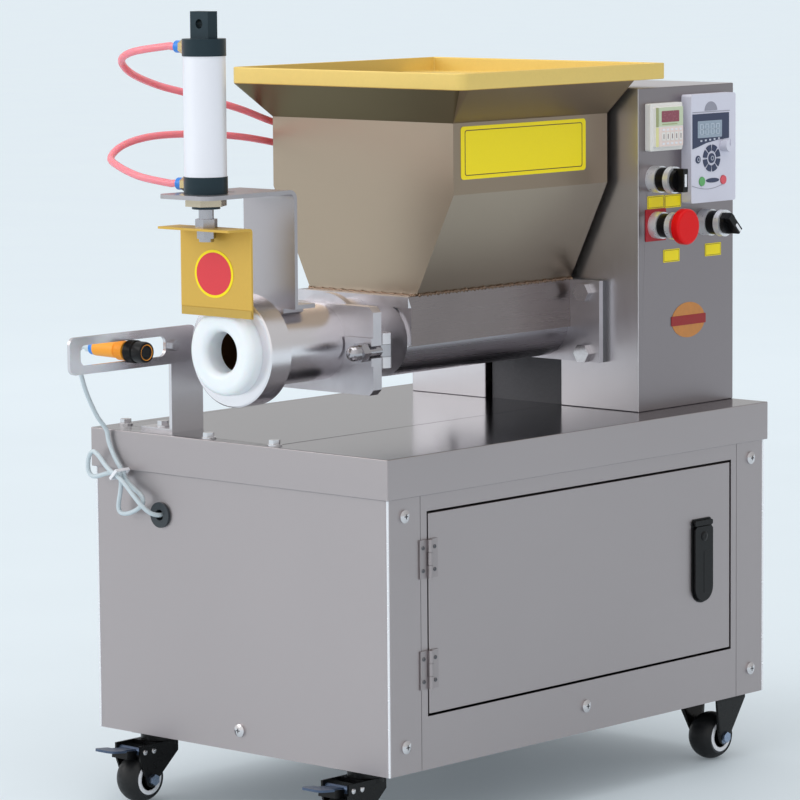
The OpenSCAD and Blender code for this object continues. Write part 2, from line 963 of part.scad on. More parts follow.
module latch_bezel() {
  pin_z = latch_plate_t + latch_barrel_r + move_gap;
  color("black") on_latch() {
    linear_extrude(latch_plate_t) latch_outline(0);
    for (side = [-1, 1])
      translate([side*(latch_w - latch_cheek_w)/2 - latch_cheek_w/2, latch_h/2 - latch_cheek_h, 0])
        cube([latch_cheek_w, latch_cheek_h, pin_z + latch_barrel_r]);
    translate([-latch_w/2 + over, latch_h/2 - latch_pin_drop, pin_z]) rotate([0, 90, 0])
      cylinder(h = latch_w - 2*over, r = latch_pin_r);
  }
}

module latch_lever() {
  pin_z = latch_plate_t + latch_barrel_r + move_gap;
  lever_w = latch_w - 2*latch_cheek_w - 2*move_gap;
  color("dimgray") on_latch() difference() {
    union() {
      translate([0, 0, latch_plate_t + move_gap]) linear_extrude(latch_lever_t) intersection() {
        latch_outline(latch_margin);
        translate([-latch_w/2, -latch_h]) square([latch_w, latch_h*3/2 - latch_pin_drop]);
      }
      translate([-lever_w/2, latch_h/2 - latch_pin_drop, pin_z]) rotate([0, 90, 0])
        cylinder(h = lever_w, r = latch_barrel_r);
    }
    translate([-latch_w/2, latch_h/2 - latch_pin_drop, pin_z]) rotate([0, 90, 0])
      cylinder(h = latch_w, r = latch_pin_r + run_gap);
  }
}

// Casters
module caster_plate(w, l) {
  translate([-w/2, -l/2, caster_top_z]) cube([w, l, caster_plate_t]);
}

module swivel_bracket() {
  caster_plate(caster_plate_w, caster_plate_l);
  translate([0, 0, caster_top_z - race_h]) cylinder(h = race_h + over, r = race_r);
  translate([0, 0, crown_low_z - move_gap]) cylinder(h = caster_top_z - crown_low_z, r = kingpin_r);
  translate([0, 0, crown_low_z - move_gap - kingpin_head_h]) cylinder(h = kingpin_head_h, r = kingpin_head_r);
}

// A cheek of a swivelling fork, drawn along Y and Z, from the pedal's pin to the axle
module cheek_shape() {
  front_y = -pedal_setback - cheek_nose;
  polygon([[front_y, crown_top_z], [cheek_back, crown_top_z], [cheek_back, crown_top_z - cheek_side_h],
    [cheek_foot_r - caster_trail, wheel_r], [-cheek_foot_r - caster_trail, wheel_r],
    [front_y, pedal_pin_z - 2*pedal_pin_boss_r]]);
  translate([-caster_trail, wheel_r]) circle(cheek_foot_r);
}

module axle_bolt(axle_y) {
  half_l = cheek_x + cheek_t;
  translate([-half_l, axle_y, wheel_r]) rotate([0, 90, 0]) cylinder(h = 2*half_l, r = axle_r);
  for (side = [-1, 1])
    translate([side*(half_l + axle_nut_h/2), axle_y, wheel_r]) rotate([0, 90, 0])
      translate([0, 0, -axle_nut_h/2]) hex_prism(axle_nut_af, axle_nut_h);
}

module fork_sides() {
  for (side = [-1, 1])
    outward_from(side*(cheek_x + cheek_t/2) - cheek_t/2) linear_extrude(cheek_t) cheek_shape();
  translate([-cheek_x - cheek_t/2, -crown_r, crown_low_z])
    cube([2*cheek_x + cheek_t, crown_r + cheek_back, crown_h]);
}

// A cheek of a fixed bracket, leaning outward from the axle to its top
module leaning_cheek(side) {
  foot_x = side*(cheek_x + cheek_t/2) - cheek_t/2;
  hull() {
    translate([foot_x + side*cheek_splay, -cheek_reach, caster_top_z - cheek_t])
      cube([cheek_t, 2*cheek_reach, cheek_t + caster_plate_t/2]);
    translate([foot_x, 0, wheel_r]) rotate([0, 90, 0]) cylinder(h = cheek_t, r = cheek_foot_r, $fn = 32);
  }
}

module rigid_bracket() {
  caster_plate(2*(cheek_x + cheek_splay + cheek_t), 2*cheek_reach);
  for (side = [-1, 1]) leaning_cheek(side);
  axle_bolt(0);
}

module caster_brackets() {
  color("black") on_floor() for (side = [-1, 1]) {
    translate([side*front_caster_x, front_caster_y, 0]) swivel_bracket();
    translate([side*rear_caster_x, rear_caster_y, 0]) rigid_bracket();
  }
}

module at_front_caster(side) {
  on_floor() translate([side*front_caster_x, front_caster_y, 0]) children();
}

module fork(side) {
  at_front_caster(side) difference() {
    union() {
      translate([0, 0, crown_low_z]) cylinder(h = crown_h, r = crown_r);
      fork_sides();
      axle_bolt(-caster_trail);
    }
    translate([0, 0, -over]) cylinder(h = caster_h, r = kingpin_r + run_gap);
    translate([-pedal_w, -pedal_setback, pedal_pin_z]) rotate([0, 90, 0])
      cylinder(h = 2*pedal_w, r = pedal_pin_r + run_gap);
  }
}

module fork_left() {
  color("black") fork(-1);
}

module fork_right() {
  color("black") fork(1);
}

// The foot plate ahead of its pin, with the block under it that stops the tyre
module pedal_plate() {
  translate([-pedal_arm_w/2, pedal_w/2 - pedal_l, 0]) cube([pedal_arm_w, pedal_l - pedal_w/2, pedal_t]);
  translate([-pedal_w/2, pedal_w/4 - pedal_l, 0]) cube([pedal_w, pedal_w/2, pedal_t]);
  translate([-pedal_w/4, -pedal_l, 0]) cube([pedal_w/2, pedal_w, pedal_t]);
  for (end = [-1, 1])
    translate([end*pedal_w/4, pedal_w/4 - pedal_l, 0]) cylinder(h = pedal_t, r = pedal_w/4);
  translate([-shoe_w/2, -shoe_reach, -shoe_h]) cube([shoe_w, shoe_l, shoe_h + pedal_t/2]);
}

module brake_pedal(side) {
  half_w = cheek_x - move_gap;
  at_front_caster(side) translate([0, -pedal_setback, pedal_pin_z]) {
    translate([-half_w, 0, 0]) rotate([0, 90, 0]) cylinder(h = 2*half_w, r = pedal_pin_boss_r);
    translate([-cheek_x - cheek_t, 0, 0]) rotate([0, 90, 0])
      cylinder(h = 2*(cheek_x + cheek_t), r = pedal_pin_r);
    rotate([-pedal_tilt, 0, 0]) pedal_plate();
  }
}

module brake_pedal_left() {
  color("slategray") brake_pedal(-1);
}

module brake_pedal_right() {
  color("slategray") brake_pedal(1);
}

// A wheel on its axle, with the axle along X
module wheel() {
  hub_r = wheel_r - tyre_t;
  rotate([0, 90, 0]) {
    rotate_extrude() intersection() {
      translate([wheel_r - tread_arc_r, 0]) circle(tread_arc_r);
      translate([hub_r, -wheel_w]) square([tyre_t + over, 2*wheel_w]);
    }
    translate([0, 0, -wheel_w/2 + hub_inset])
      ring_solid(hub_r, axle_r + run_gap, wheel_w - 2*hub_inset);
  }
}

module front_wheel(side) {
  at_front_caster(side) translate([0, -caster_trail, wheel_r]) wheel();
}

module rear_wheel(side) {
  on_floor() translate([side*rear_caster_x, rear_caster_y, wheel_r]) wheel();
}

module wheel_front_left() {
  color("dimgray") front_wheel(-1);
}

module wheel_front_right() {
  color("dimgray") front_wheel(1);
}

module wheel_rear_left() {
  color("dimgray") rear_wheel(-1);
}

module wheel_rear_right() {
  color("dimgray") rear_wheel(1);
}

// Tower
module control_tower() {
  color("lightgray") difference() {
    on_deck() difference() {
      translate([-tower_w/2, tower_y, 0]) cube([tower_w, tower_d, tower_h]);
      translate([-tower_w/2 + sheet_t, tower_y + sheet_t, -over])
        cube([tower_w - 2*sheet_t, tower_d - 2*sheet_t, tower_h - sheet_t + over]);
      translate([-tower_slot_w/2, tower_y - over, -over])
        cube([tower_slot_w, sheet_t + 2*over, axis_h + case_half_h + over]);
      for (z = [hose_upper_z, hose_lower_z])
        translate([-hose_x, tower_y - over, z]) rotate([-90, 0, 0])
          cylinder(h = sheet_t + 2*over, r = port_r + seat_gap);
    }
    at_switches() translate([0, 0, -2*sheet_t])
      cylinder(h = 3*sheet_t, r = base_spigot_r + seat_gap);
  }
}

module at_switches() {
  on_tower(selector_left_setback, selector_left_rise) children();
  on_tower(selector_right_setback, selector_right_rise) children();
  on_tower(stop_setback, stop_rise) children();
}

// Gear case, bearings and drive
module gear_case() {
  color("darkslategray") on_axis() difference() {
    union() {
      flange_plate(tower_y);
      forward_from(case_y) linear_extrude(case_y - tower_y + over)
        translate([-tower_slot_w/2 + case_nose_gap, -case_nose_low + case_nose_gap])
          square([tower_slot_w - 2*case_nose_gap, throat_top + case_nose_low - 2*case_nose_gap]);
      forward_from(case_back_y) linear_extrude(case_depth)
        square([2*case_half_w, 2*case_half_h], center = true);
      translate([-pedestal_w/2, tower_y + pedestal_setback, -axis_h])
        cube([pedestal_w, pedestal_l, axis_h]);
    }
    forward_from(case_back_y + over) linear_extrude(cavity_depth + over) stadium(screw_x, cavity_r);
    at_shafts(case_back_y) cylinder(h = case_back_y - bearing_front_y, r = bearing_r + run_gap);
    at_shafts(case_back_y) cylinder(h = case_back_y - case_plate_y + over, r = shaft_r + shaft_hole_gap);
    at_shafts(case_plate_y + seal_w) cylinder(h = seal_w + over, r = seal_r + run_gap);
    flange_bolt_holes();
  }
}

// Bolted plate, with its rear face at the given place
module flange_plate(back_y) {
  forward_from(back_y) linear_extrude(flange_t)
    translate([-flange_w/2, flange_low]) square([flange_w, throat_top - flange_low]);
}

module at_shafts(y) {
  for (side = [-1, 1])
    translate([side*screw_x, 0, 0]) forward_from(y) children();
}

module at_flange_bolts() {
  for (side = [-1, 1], end = [-1, 1])
    translate([side*flange_bolt_x, 0, end*flange_bolt_z]) forward_from(barrel_back_y) children();
}

module flange_bolt_holes() {
  at_flange_bolts() translate([0, 0, -2*flange_t - over])
    cylinder(h = 2*flange_t + 2*over, r = flange_bolt_r + seat_gap);
}

module bearing_set() {
  color("gainsboro") on_axis() {
    at_shafts(bearing_front_y + bearing_w) ring_solid(bearing_r, shaft_r + run_gap, bearing_w);
    at_shafts(case_back_y + bearing_w) ring_solid(bearing_r, shaft_r + run_gap, bearing_w);
    at_shafts(case_plate_y + seal_w) ring_solid(seal_r, shaft_r + run_gap, seal_w);
  }
}

// A feed screw along -Y, its flight wound the given way, with its shaft reaching back
module feed_screw(hand, shaft_back_y) {
  flight_r = chamber_r - flight_gap;
  flight_l = barrel_l - front_wall_t - 2*screw_end_gap;
  turns = flight_l/screw_pitch;
  forward_from(barrel_back_y - screw_end_gap)
    linear_extrude(flight_l, twist = hand*360*turns, slices = round(turns*screw_steps_per_turn), $fn = 12) {
      circle(screw_core_r);
      translate([-flight_t/2, 0]) square([flight_t, flight_r - flight_gap]);
    }
  forward_from(shaft_back_y) cylinder(h = shaft_back_y - barrel_back_y + 2*screw_end_gap, r = shaft_r);
}

module screw_right() {
  color("silver") on_axis() translate([screw_x, 0, 0]) feed_screw(1, drive_back_y + worm_bore_l - over);
}

module screw_left() {
  color("silver") on_axis() translate([-screw_x, 0, 0]) feed_screw(-1, case_back_y + bearing_w - over);
}

// Involute timing gear
gear_base_r = gear_r*cos(gear_pressure_angle);
gear_tip_r = gear_r + gear_module;
gear_root_r = gear_r - gear_dedendum_share*gear_module;

function roll_angle(r) = sqrt(max(r*r/(gear_base_r*gear_base_r) - 1, 0))*180/PI;

function involute_angle(r) = roll_angle(r) - atan(roll_angle(r)*PI/180);

gear_half_tooth = 90/gear_teeth - gear_backlash/4/gear_r*180/PI + involute_angle(gear_r);
gear_flank_steps = 5;
gear_flank = [for (k = [0 : gear_flank_steps])
  let (r = gear_base_r + (gear_tip_r - gear_base_r)*k/gear_flank_steps)
  [r, gear_half_tooth - involute_angle(r)]];

function polar(r, angle) = [r*cos(angle), r*sin(angle)];

gear_outline = [for (tooth = [0 : gear_teeth - 1])
  let (middle = 360*tooth/gear_teeth)
  each concat(
    [polar(gear_root_r, middle - gear_half_tooth)],
    [for (f = gear_flank) polar(f[0], middle - f[1])],
    [for (k = [gear_flank_steps : -1 : 0]) polar(gear_flank[k][0], middle + gear_flank[k][1])],
    [polar(gear_root_r, middle + gear_half_tooth)])];

module timing_gear(turn) {
  forward_from(gear_y + gear_w/2) linear_extrude(gear_w) difference() {
    rotate(turn) polygon(gear_outline);
    circle(shaft_r + run_gap);
  }
}

module timing_gear_right() {
  color("gray") on_axis() translate([screw_x, 0, 0]) timing_gear(180);
}

module timing_gear_left() {
  color("gray") on_axis() translate([-screw_x, 0, 0]) timing_gear(180/gear_teeth);
}

module gearmotor() {
  color("steelblue") on_axis() difference() {
    union() {
      forward_from(drive_back_y) linear_extrude(drive_cover_t)
        square([2*case_half_w, 2*case_half_h], center = true);
      translate([screw_x - worm_box_w/2, drive_back_y - over, -worm_box_low])
        cube([worm_box_w, worm_box_l + over, worm_box_low + worm_box_top]);
      translate([screw_x, motor_y, -axis_h - motor_drop + motor_fan_h])
        cylinder(h = axis_h + motor_drop - motor_fan_h, r = motor_r);
      translate([screw_x, motor_y, -axis_h - motor_drop]) cylinder(h = motor_fan_h + over, r = motor_fan_r);
    }
    at_shafts(case_back_y + bearing_w) cylinder(h = bearing_w + over, r = bearing_r + run_gap);
    translate([screw_x, 0, 0]) forward_from(drive_back_y + worm_bore_l)
      cylinder(h = worm_bore_l + drive_cover_t + over, r = shaft_r + run_gap);
  }
}

// Barrel
module barrel() {
  color("silver") on_axis() difference() {
    union() {
      forward_from(barrel_back_y) linear_extrude(barrel_l) stadium(screw_x, barrel_r);
      translate([-throat_w/2, barrel_front_y, throat_low])
        cube([throat_w, barrel_l, throat_top - throat_low]);
      translate([-throat_w/2, barrel_front_y - ledge_d, throat_top - ledge_h])
        cube([throat_w, ledge_d + over, ledge_h]);
      forward_from(barrel_front_y + over) linear_extrude(lip_t + over) difference() {
        stadium(screw_x, barrel_r);
        stadium(screw_x, barrel_r - lip_w);
      }
      flange_plate(case_plate_y);
      forward_from(barrel_front_y + over) cylinder(h = neck_l + over, r = neck_d/2);
      forward_from(neck_front_y + neck_flange_t) cylinder(h = neck_flange_t, r = neck_flange_r);
      for (side = [-1, 1], end = [-1, 1])
        swing_lug(side, end);
    }
    forward_from(barrel_back_y) linear_extrude(barrel_l - front_wall_t) stadium(screw_x, chamber_r);
    translate([-throat_w/2 + throat_wall, barrel_front_y + throat_wall, 0])
      cube([throat_w - 2*throat_wall, barrel_l - 2*throat_wall, throat_top + over]);
    forward_from(barrel_front_y + front_wall_t + over)
      cylinder(h = front_wall_t + neck_l + 2*over, r = nozzle_tube_bore_r);
    at_shafts(case_plate_y + over) cylinder(h = flange_t + 2*over, r = shaft_r + shaft_hole_gap);
    flange_bolt_holes();
    for (side = [-1, 1])
      at_swing_pin(side) cylinder(h = 8*swing_eye_h, r = swing_pin_r + run_gap, center = true);
  }
}

// Pivot of a swing bolt, axis upward
module at_swing_pin(side) {
  translate([side*swing_x, neck_front_y + swing_pin_setback, -swing_drop]) children();
}

// Lug above or below a swing bolt's eye
module swing_lug(side, end) {
  low = end > 0 ? swing_eye_h/2 + move_gap : -swing_eye_h/2 - move_gap - lug_t;
  root_x = neck_d/4;
  at_swing_pin(side) translate([0, 0, low]) {
    cylinder(h = lug_t, r = lug_round);
    translate([side > 0 ? root_x - swing_x : 0, -swing_pin_setback, 0])
      cube([swing_x - root_x, lug_l, lug_t]);
  }
}

// Hopper
module hopper_outline(inset) {
  foot = hopper_foot_w/2 - inset;
  neck = hopper_neck_w/2 - inset;
  polygon([[-foot, 0], [foot, 0], [neck, hopper_taper_h], [neck, hopper_taper_h + hopper_neck_h],
    [-neck, hopper_taper_h + hopper_neck_h], [-neck, hopper_taper_h]]);
}

// Flared part, wider at the front and the sides, flat at the rear; lift carries a cut past both ends
module flare(inset, lift) {
  neck_half = hopper_neck_w/2 - inset;
  rim_half = rim_w/2 - inset;
  front = hopper_front_y + inset;
  rim_start = hopper_front_y - rim_front + inset;
  back = hopper_back_y - inset;
  hull() {
    translate([-neck_half, front, -lift]) cube([2*neck_half, back - front, skin]);
    translate([0, 0, hopper_flare_h - skin + lift]) linear_extrude(skin) {
      translate([-rim_half, back - rim_r]) square([2*rim_half, rim_r]);
      for (side = [-1, 1])
        translate([side*(rim_half - rim_r), rim_start + rim_r]) circle(rim_r, $fn = 32);
    }
  }
}

module hopper() {
  color("tan") on_deck() {
    translate([0, 0, hopper_z]) difference() {
      forward_from(hopper_back_y) linear_extrude(hopper_l) hopper_outline(0);
      forward_from(hopper_back_y - hopper_t) linear_extrude(hopper_l - 2*hopper_t) hopper_outline(hopper_t);
      translate([-hopper_foot_w/2 + hopper_t, hopper_front_y + hopper_t, -over])
        cube([hopper_foot_w - 2*hopper_t, hopper_l - 2*hopper_t, 2*over]);
      translate([-hopper_neck_w/2 + hopper_t, hopper_front_y + hopper_t,
        hopper_taper_h + hopper_neck_h - over])
        cube([hopper_neck_w - 2*hopper_t, hopper_l - 2*hopper_t, 2*over]);
    }
    translate([0, 0, hopper_flare_z]) difference() {
      flare(0, 0);
      flare(hopper_t, over);
    }
  }
}

module rim_outline(inset) {
  w = rim_w - 2*inset;
  l = rim_l - 2*inset;
  rounded_rect(w, l, rim_r - inset);
  translate([-w/2, 0]) square([w, l/2]);
}

module hopper_rim() {
  shelf_y = hopper_back_y - hopper_t;
  color("goldenrod") on_deck() translate([0, 0, rim_z]) {
    translate([0, rim_mid_y, 0]) linear_extrude(rim_h) difference() {
      rim_outline(0);
      rim_outline(rim_t);
    }
    translate([-rim_w/2 + rim_t/2, shelf_y, 0])
      cube([rim_w - rim_t, rim_rear + hopper_t - rim_t/2, hopper_t]);
  }
}

// Nozzle
module nozzle_body() {
  color("silver") on_axis() difference() {
    union() {
      forward_from(neck_front_y) linear_extrude(plate_t) plate_outline();
      for (side = [-1, 1])
        translate([side*(plate_w - pad_w)/2, 0, -swing_drop]) forward_from(plate_front_y + over)
          linear_extrude(pad_t + over) square([pad_w, pad_h], center = true);
      forward_from(plate_front_y + over)
        cylinder(h = plate_front_y - nozzle_back_y + over, r = nozzle_tube_r);
    }
    forward_from(neck_front_y + over)
      cylinder(h = neck_front_y - nozzle_back_y + 2*over, r = nozzle_tube_bore_r);
    for (side = [-1, 1])
      translate([side*swing_x, 0, -swing_drop]) forward_from(neck_front_y + over)
        linear_extrude(plate_t + pad_t + 2*over) {
          circle(swing_slot_w/2);
          translate([side > 0 ? 0 : -plate_w/2, -swing_slot_w/2])
            square([plate_w/2, swing_slot_w]);
        }
  }
}

module plate_outline() {
  half = plate_w/2;
  polygon([[-half + plate_chamfer, -plate_low], [half - plate_chamfer, -plate_low],
    [half, -plate_low + plate_chamfer], [half, plate_top - plate_chamfer],
    [half - plate_chamfer, plate_top], [-half + plate_chamfer, plate_top],
    [-half, plate_top - plate_chamfer], [-half, -plate_low + plate_chamfer]]);
}

module nozzle_ring() {
  outer = ring_d/2;
  seat_r = nozzle_r + nozzle_flange_over + seat_gap;
  color("silver") on_axis() difference() {
    forward_from(ring_back_y) rotate_extrude() polygon([[0, 0], [outer - ring_round, 0],
      [outer, ring_round], [outer, ring_l - ring_round], [outer - ring_round, ring_l], [0, ring_l]]);
    forward_from(ring_back_y + over) cylinder(h = ring_l + 2*over, r = nozzle_tube_r + run_gap);
    forward_from(nozzle_back_y) cylinder(h = ring_l - nozzle_seat_l - ring_lip_t, r = seat_r);
    forward_from(nozzle_back_y) cylinder(h = ring_l, r = nozzle_r + seat_gap);
    forward_from(ring_back_y - ring_l/2) rotate([0, 0, -grub_angle]) rotate([0, 90, 0])
      translate([0, 0, seat_r]) cylinder(h = ring_d, r = grub_screw_r);
  }
}

function arc(centre, r, from, to, steps) =
  [for (k = [0 : steps]) centre + r*[cos(from + (to - from)*k/steps), sin(from + (to - from)*k/steps)]];

module nozzle() {
  back = 0;
  front = nozzle_back_y - nozzle_front_y;
  flange_r = nozzle_r + nozzle_flange_over;
  bore_r = nozzle_bore_d/2;
  round_steps = 8;
  color("white") on_axis() forward_from(nozzle_back_y) rotate_extrude() polygon(concat(
    [[nozzle_tube_bore_r, back], [flange_r, back], [flange_r, nozzle_flange_t - seat_gap],
      [nozzle_r, nozzle_flange_t - seat_gap]],
    arc([nozzle_r - nozzle_round, front - nozzle_round], nozzle_round, 0, 90, round_steps),
    arc([bore_r + nozzle_inlet_round, front - nozzle_inlet_round], nozzle_inlet_round, 90, 180, round_steps),
    [[bore_r, nozzle_flange_t]]));
}

// Bolts and pins
module at_cover_bolts() {
  for (side = [-1, 1])
    translate([side*front_bolt_x, -cover_l/2 + front_bolt_inset, 0]) children();
  translate([-cover_w/2 + side_bolt_inset, -cover_l/2 + side_bolt_setback, 0]) children();
}

module at_foot_bolts() {
  for (end = [-1, 1])
    translate([-arm_x - 2*arm_t - foot_l*foot_bolt_share, arm_post_y + end*foot_bolt_spread, 0]) children();
}

module washered_bolt() {
  ring_solid(washer_r, cover_bolt_r + seat_gap, washer_t);
  translate([0, 0, washer_t]) hex_bolt(cover_bolt_af, cover_bolt_head_h, cover_bolt_r, cover_bolt_l);
}

module hex_bolts() {
  pin_h = swing_eye_h + 2*move_gap + 2*lug_t;
  color("gainsboro") {
    on_deck() {
      at_cover_bolts() washered_bolt();
      at_foot_bolts() translate([0, 0, arm_t]) washered_bolt();
      at_bracket_bolt() hex_bolt(cover_bolt_af, cover_bolt_head_h, cover_bolt_r, bracket_t);
      at_arm_bolt() hex_bolt(cover_bolt_af, cover_bolt_head_h, cover_bolt_r, 2*arm_t);
    }
    on_axis() {
      at_flange_bolts() hex_bolt(flange_bolt_af, flange_bolt_head_h, flange_bolt_r, 2*flange_t);
      for (side = [-1, 1])
        at_swing_pin(side) translate([0, 0, -pin_h/2]) cylinder(h = pin_h, r = swing_pin_r);
    }
  }
}

module swing_bolt(side) {
  tip = swing_pin_setback + plate_t + pad_t + swing_nut_gap;
  on_axis() at_swing_pin(side) {
    difference() {
      union() {
        translate([0, 0, -swing_eye_h/2]) cylinder(h = swing_eye_h, r = swing_eye_r);
        rotate([90, 0, 0]) cylinder(h = tip + swing_dome_base - seat_gap, r = swing_bolt_r);
      }
      translate([0, 0, -swing_eye_h]) cylinder(h = 2*swing_eye_h, r = swing_pin_r + run_gap);
    }
    forward_from(-tip) difference() {
      union() {
        hex_prism(swing_nut_af, swing_nut_h);
        rotate_extrude() polygon(concat([[0, 0], [swing_dome_r, 0]],
          arc([0, swing_dome_base], swing_dome_r, 0, 90, 6)));
      }
      translate([0, 0, -over]) cylinder(h = swing_dome_base + over, r = swing_bolt_r + run_gap);
    }
  }
}

module swing_bolt_right() {
  color("gainsboro") swing_bolt(1);
}

module swing_bolt_left() {
  color("gainsboro") swing_bolt(-1);
}

// Cutter, cylinder and bracket
bracket_back_y = cylinder_y + bracket_back;
bracket_foot_z = axis_h + nozzle_tube_r + run_gap;

module at_bracket_bolt() {
  translate([0, bracket_back_y + bracket_bolt_setback, bracket_foot_z + bracket_t]) children();
}

// Bent upright of the bracket, drawn along Y and Z
module upright_shape() {
  low = bracket_foot_z;
  bend_z = bracket_z + bracket_t - bracket_bend_r;
  bend_y = bracket_back_y - bracket_bend_r;
  translate([bracket_back_y - bracket_t, low]) square([bracket_t, bend_z - low]);
  translate([bracket_back_y - bracket_t, low]) square([bracket_t + bracket_foot_l, bracket_t]);
  intersection() {
    translate([bend_y, bend_z]) difference() {
      circle(bracket_bend_r);
      circle(bracket_bend_r - bracket_t);
    }
    translate([bend_y, bend_z]) square(bracket_bend_r);
  }
}

module cylinder_bracket() {
  front_y = cylinder_y - bracket_front;
  plate_l = bracket_back_y - bracket_bend_r - front_y;
  saddle_z = bracket_foot_z - bracket_saddle_drop;
  color("gainsboro") on_deck() difference() {
    union() {
      outward_from(-bracket_w/2) linear_extrude(bracket_w) upright_shape();
      translate([0, front_y + plate_l/2, bracket_z]) linear_extrude(bracket_t) {
        rounded_rect(bracket_w, plate_l, bracket_r);
        translate([-bracket_w/2, 0]) square([bracket_w, plate_l/2]);
      }
      translate([-bracket_saddle_w/2, bracket_back_y - bracket_t, saddle_z])
        cube([bracket_saddle_w, bracket_t + bracket_foot_l, bracket_saddle_drop + bracket_t]);
    }
    translate([0, bracket_back_y + 2*bracket_foot_l, axis_h]) rotate([90, 0, 0])
      cylinder(h = 4*bracket_foot_l, r = nozzle_tube_r + run_gap);
    translate([0, cylinder_y, bracket_z - over]) cylinder(h = bracket_t + 2*over, r = nose_r + seat_gap);
    at_bracket_bolt() translate([0, 0, -2*bracket_t]) cylinder(h = 3*bracket_t, r = cover_bolt_r + seat_gap);
    translate([0, cylinder_y + bracket_slot_setback, bracket_z - over])
      linear_extrude(bracket_t + 2*over) rounded_rect(bracket_slot_l, bracket_slot_w, bracket_slot_w/3);
  }
}

module at_cylinder(z) {
  on_deck() translate([0, cylinder_y, z]) children();
}

module cylinder_tube() {
  color("lavender") at_cylinder(tube_z) ring_solid(cylinder_bore/2 + tube_wall, cylinder_bore/2, cylinder_l);
}

// Port that opens on -X halfway up a cap
module port_hole() {
  translate([-cap_r + port_depth, 0, cap_h/2]) rotate([0, -90, 0])
    cylinder(h = port_depth + cap_r, r = port_r + seat_gap);
}

module cylinder_caps() {
  color("darkslategray") {
    at_cylinder(cap_z) difference() {
      union() {
        cylinder(h = cap_h, r = cap_r);
        translate([0, 0, -nose_l]) cylinder(h = nose_l + over, r = nose_r);
      }
      translate([0, 0, -nose_l - over]) cylinder(h = nose_l + cap_h + 2*over, r = rod_r + run_gap);
      port_hole();
    }
    at_cylinder(bracket_z - nose_nut_h) hex_nut(nose_nut_af, nose_r + seat_gap, nose_nut_h);
    at_cylinder(upper_cap_z) difference() {
      union() {
        cylinder(h = cap_h, r = cap_r);
        translate([-tongue_w/2, -tongue_t/2, cap_h - over])
          cube([tongue_w, tongue_t, tongue_h + over]);
      }
      translate([0, 0, cap_h + tongue_h - tongue_w/2]) rotate([90, 0, 0])
        cylinder(h = 2*tongue_t, r = tongue_hole_r, center = true);
      port_hole();
    }
  }
}

module piston_rod() {
  low = blade_top_z - rod_end;
  piston_z = upper_cap_z - piston_top_gap - piston_h;
  flange_low_z = blade_top_z - blade_t;
  color("silver") {
    at_cylinder(low) cylinder(h = piston_z + over - low, r = rod_r);
    at_cylinder(piston_z) cylinder(h = piston_h, r = cylinder_bore/2 - run_gap);
    at_cylinder(blade_top_z) hex_nut(rod_nut_af, rod_r + run_gap, rod_nut_h);
    at_cylinder(flange_low_z - rod_nut_h) hex_nut(lower_nut_af, rod_r + run_gap, rod_nut_h);
  }
}

// Bent blade, drawn along Y and Z with its top flange forward and a bevelled lower edge
module blade_shape() {
  front_y = blade_back_y - blade_t;
  low = blade_top_z - blade_h;
  bend_y = blade_back_y - blade_bend_r;
  bend_z = blade_top_z - blade_bend_r;
  polygon([[blade_back_y, low], [blade_back_y, bend_z], [front_y, bend_z],
    [front_y, low + blade_edge_h]]);
  translate([bend_y - blade_flange_l, blade_top_z - blade_t]) square([blade_flange_l, blade_t]);
  intersection() {
    translate([bend_y, bend_z]) difference() {
      circle(blade_bend_r);
      circle(blade_bend_r - blade_t);
    }
    translate([bend_y, bend_z]) square(blade_bend_r);
  }
}

module cutter_blade() {
  color("goldenrod") on_deck() difference() {
    outward_from(-blade_w/2) linear_extrude(blade_w) blade_shape();
    translate([0, cylinder_y, blade_top_z - 2*blade_t]) cylinder(h = 3*blade_t, r = rod_r + run_gap);
  }
}

// Air fittings
module push_fitting() {
  translate([0, 0, -port_depth + over]) cylinder(h = port_depth, r = port_r);
  hex_prism(fitting_af, fitting_hex_l);
  translate([0, 0, fitting_hex_l - over]) cylinder(h = fitting_collar_l + over, r = fitting_collar_r);
}

module air_fittings() {
  color("goldenrod") {
    for (z = [cap_z, upper_cap_z])
      at_cylinder(z + cap_h/2) translate([-cap_r - fitting_stand, 0, 0]) rotate([0, -90, 0]) push_fitting();
    for (z = [hose_upper_z, hose_lower_z])
      on_deck() translate([-hose_x, tower_y, z]) rotate([90, 0, 0]) push_fitting();
    on_deck() at_inlet() air_inlet();
  }
}

// Threaded inlet through the rear panel
module air_inlet() {
  difference() {
    union() {
      hex_prism(2*inlet_body_r + fitting_af/2, fitting_hex_l);
      translate([0, 0, -inlet_bore_l])
        cylinder(h = inlet_bore_l + fitting_hex_l + fitting_collar_l, r = inlet_body_r);
    }
    translate([0, 0, fitting_hex_l + fitting_collar_l - inlet_bore_l])
      cylinder(h = inlet_bore_l + over, r = inlet_bore_r);
  }
}

module air_hose_upper() {
  color("salmon") on_deck() tube_along(smooth_route(hose_upper_route, 2), hose_r, hose_sides);
}

module air_hose_lower() {
  color("salmon") on_deck() tube_along(smooth_route(hose_lower_route, 2), hose_r, hose_sides);
}

// Sensor
slot_back_y = arm_front_y + arm_slot_front + arm_slot_l;
arm_back_y = max(arm_inset - cover_l/2, slot_back_y + arm_slot_end + arm_bolt_setback);
arm_l = arm_back_y - arm_front_y;
arm_post_y = arm_back_y + post_over - post_l/2;

module at_arm_bolt() {
  translate([-arm_x, arm_back_y - arm_bolt_setback, arm_low + arm_h/2]) rotate([0, 90, 0]) children();
}

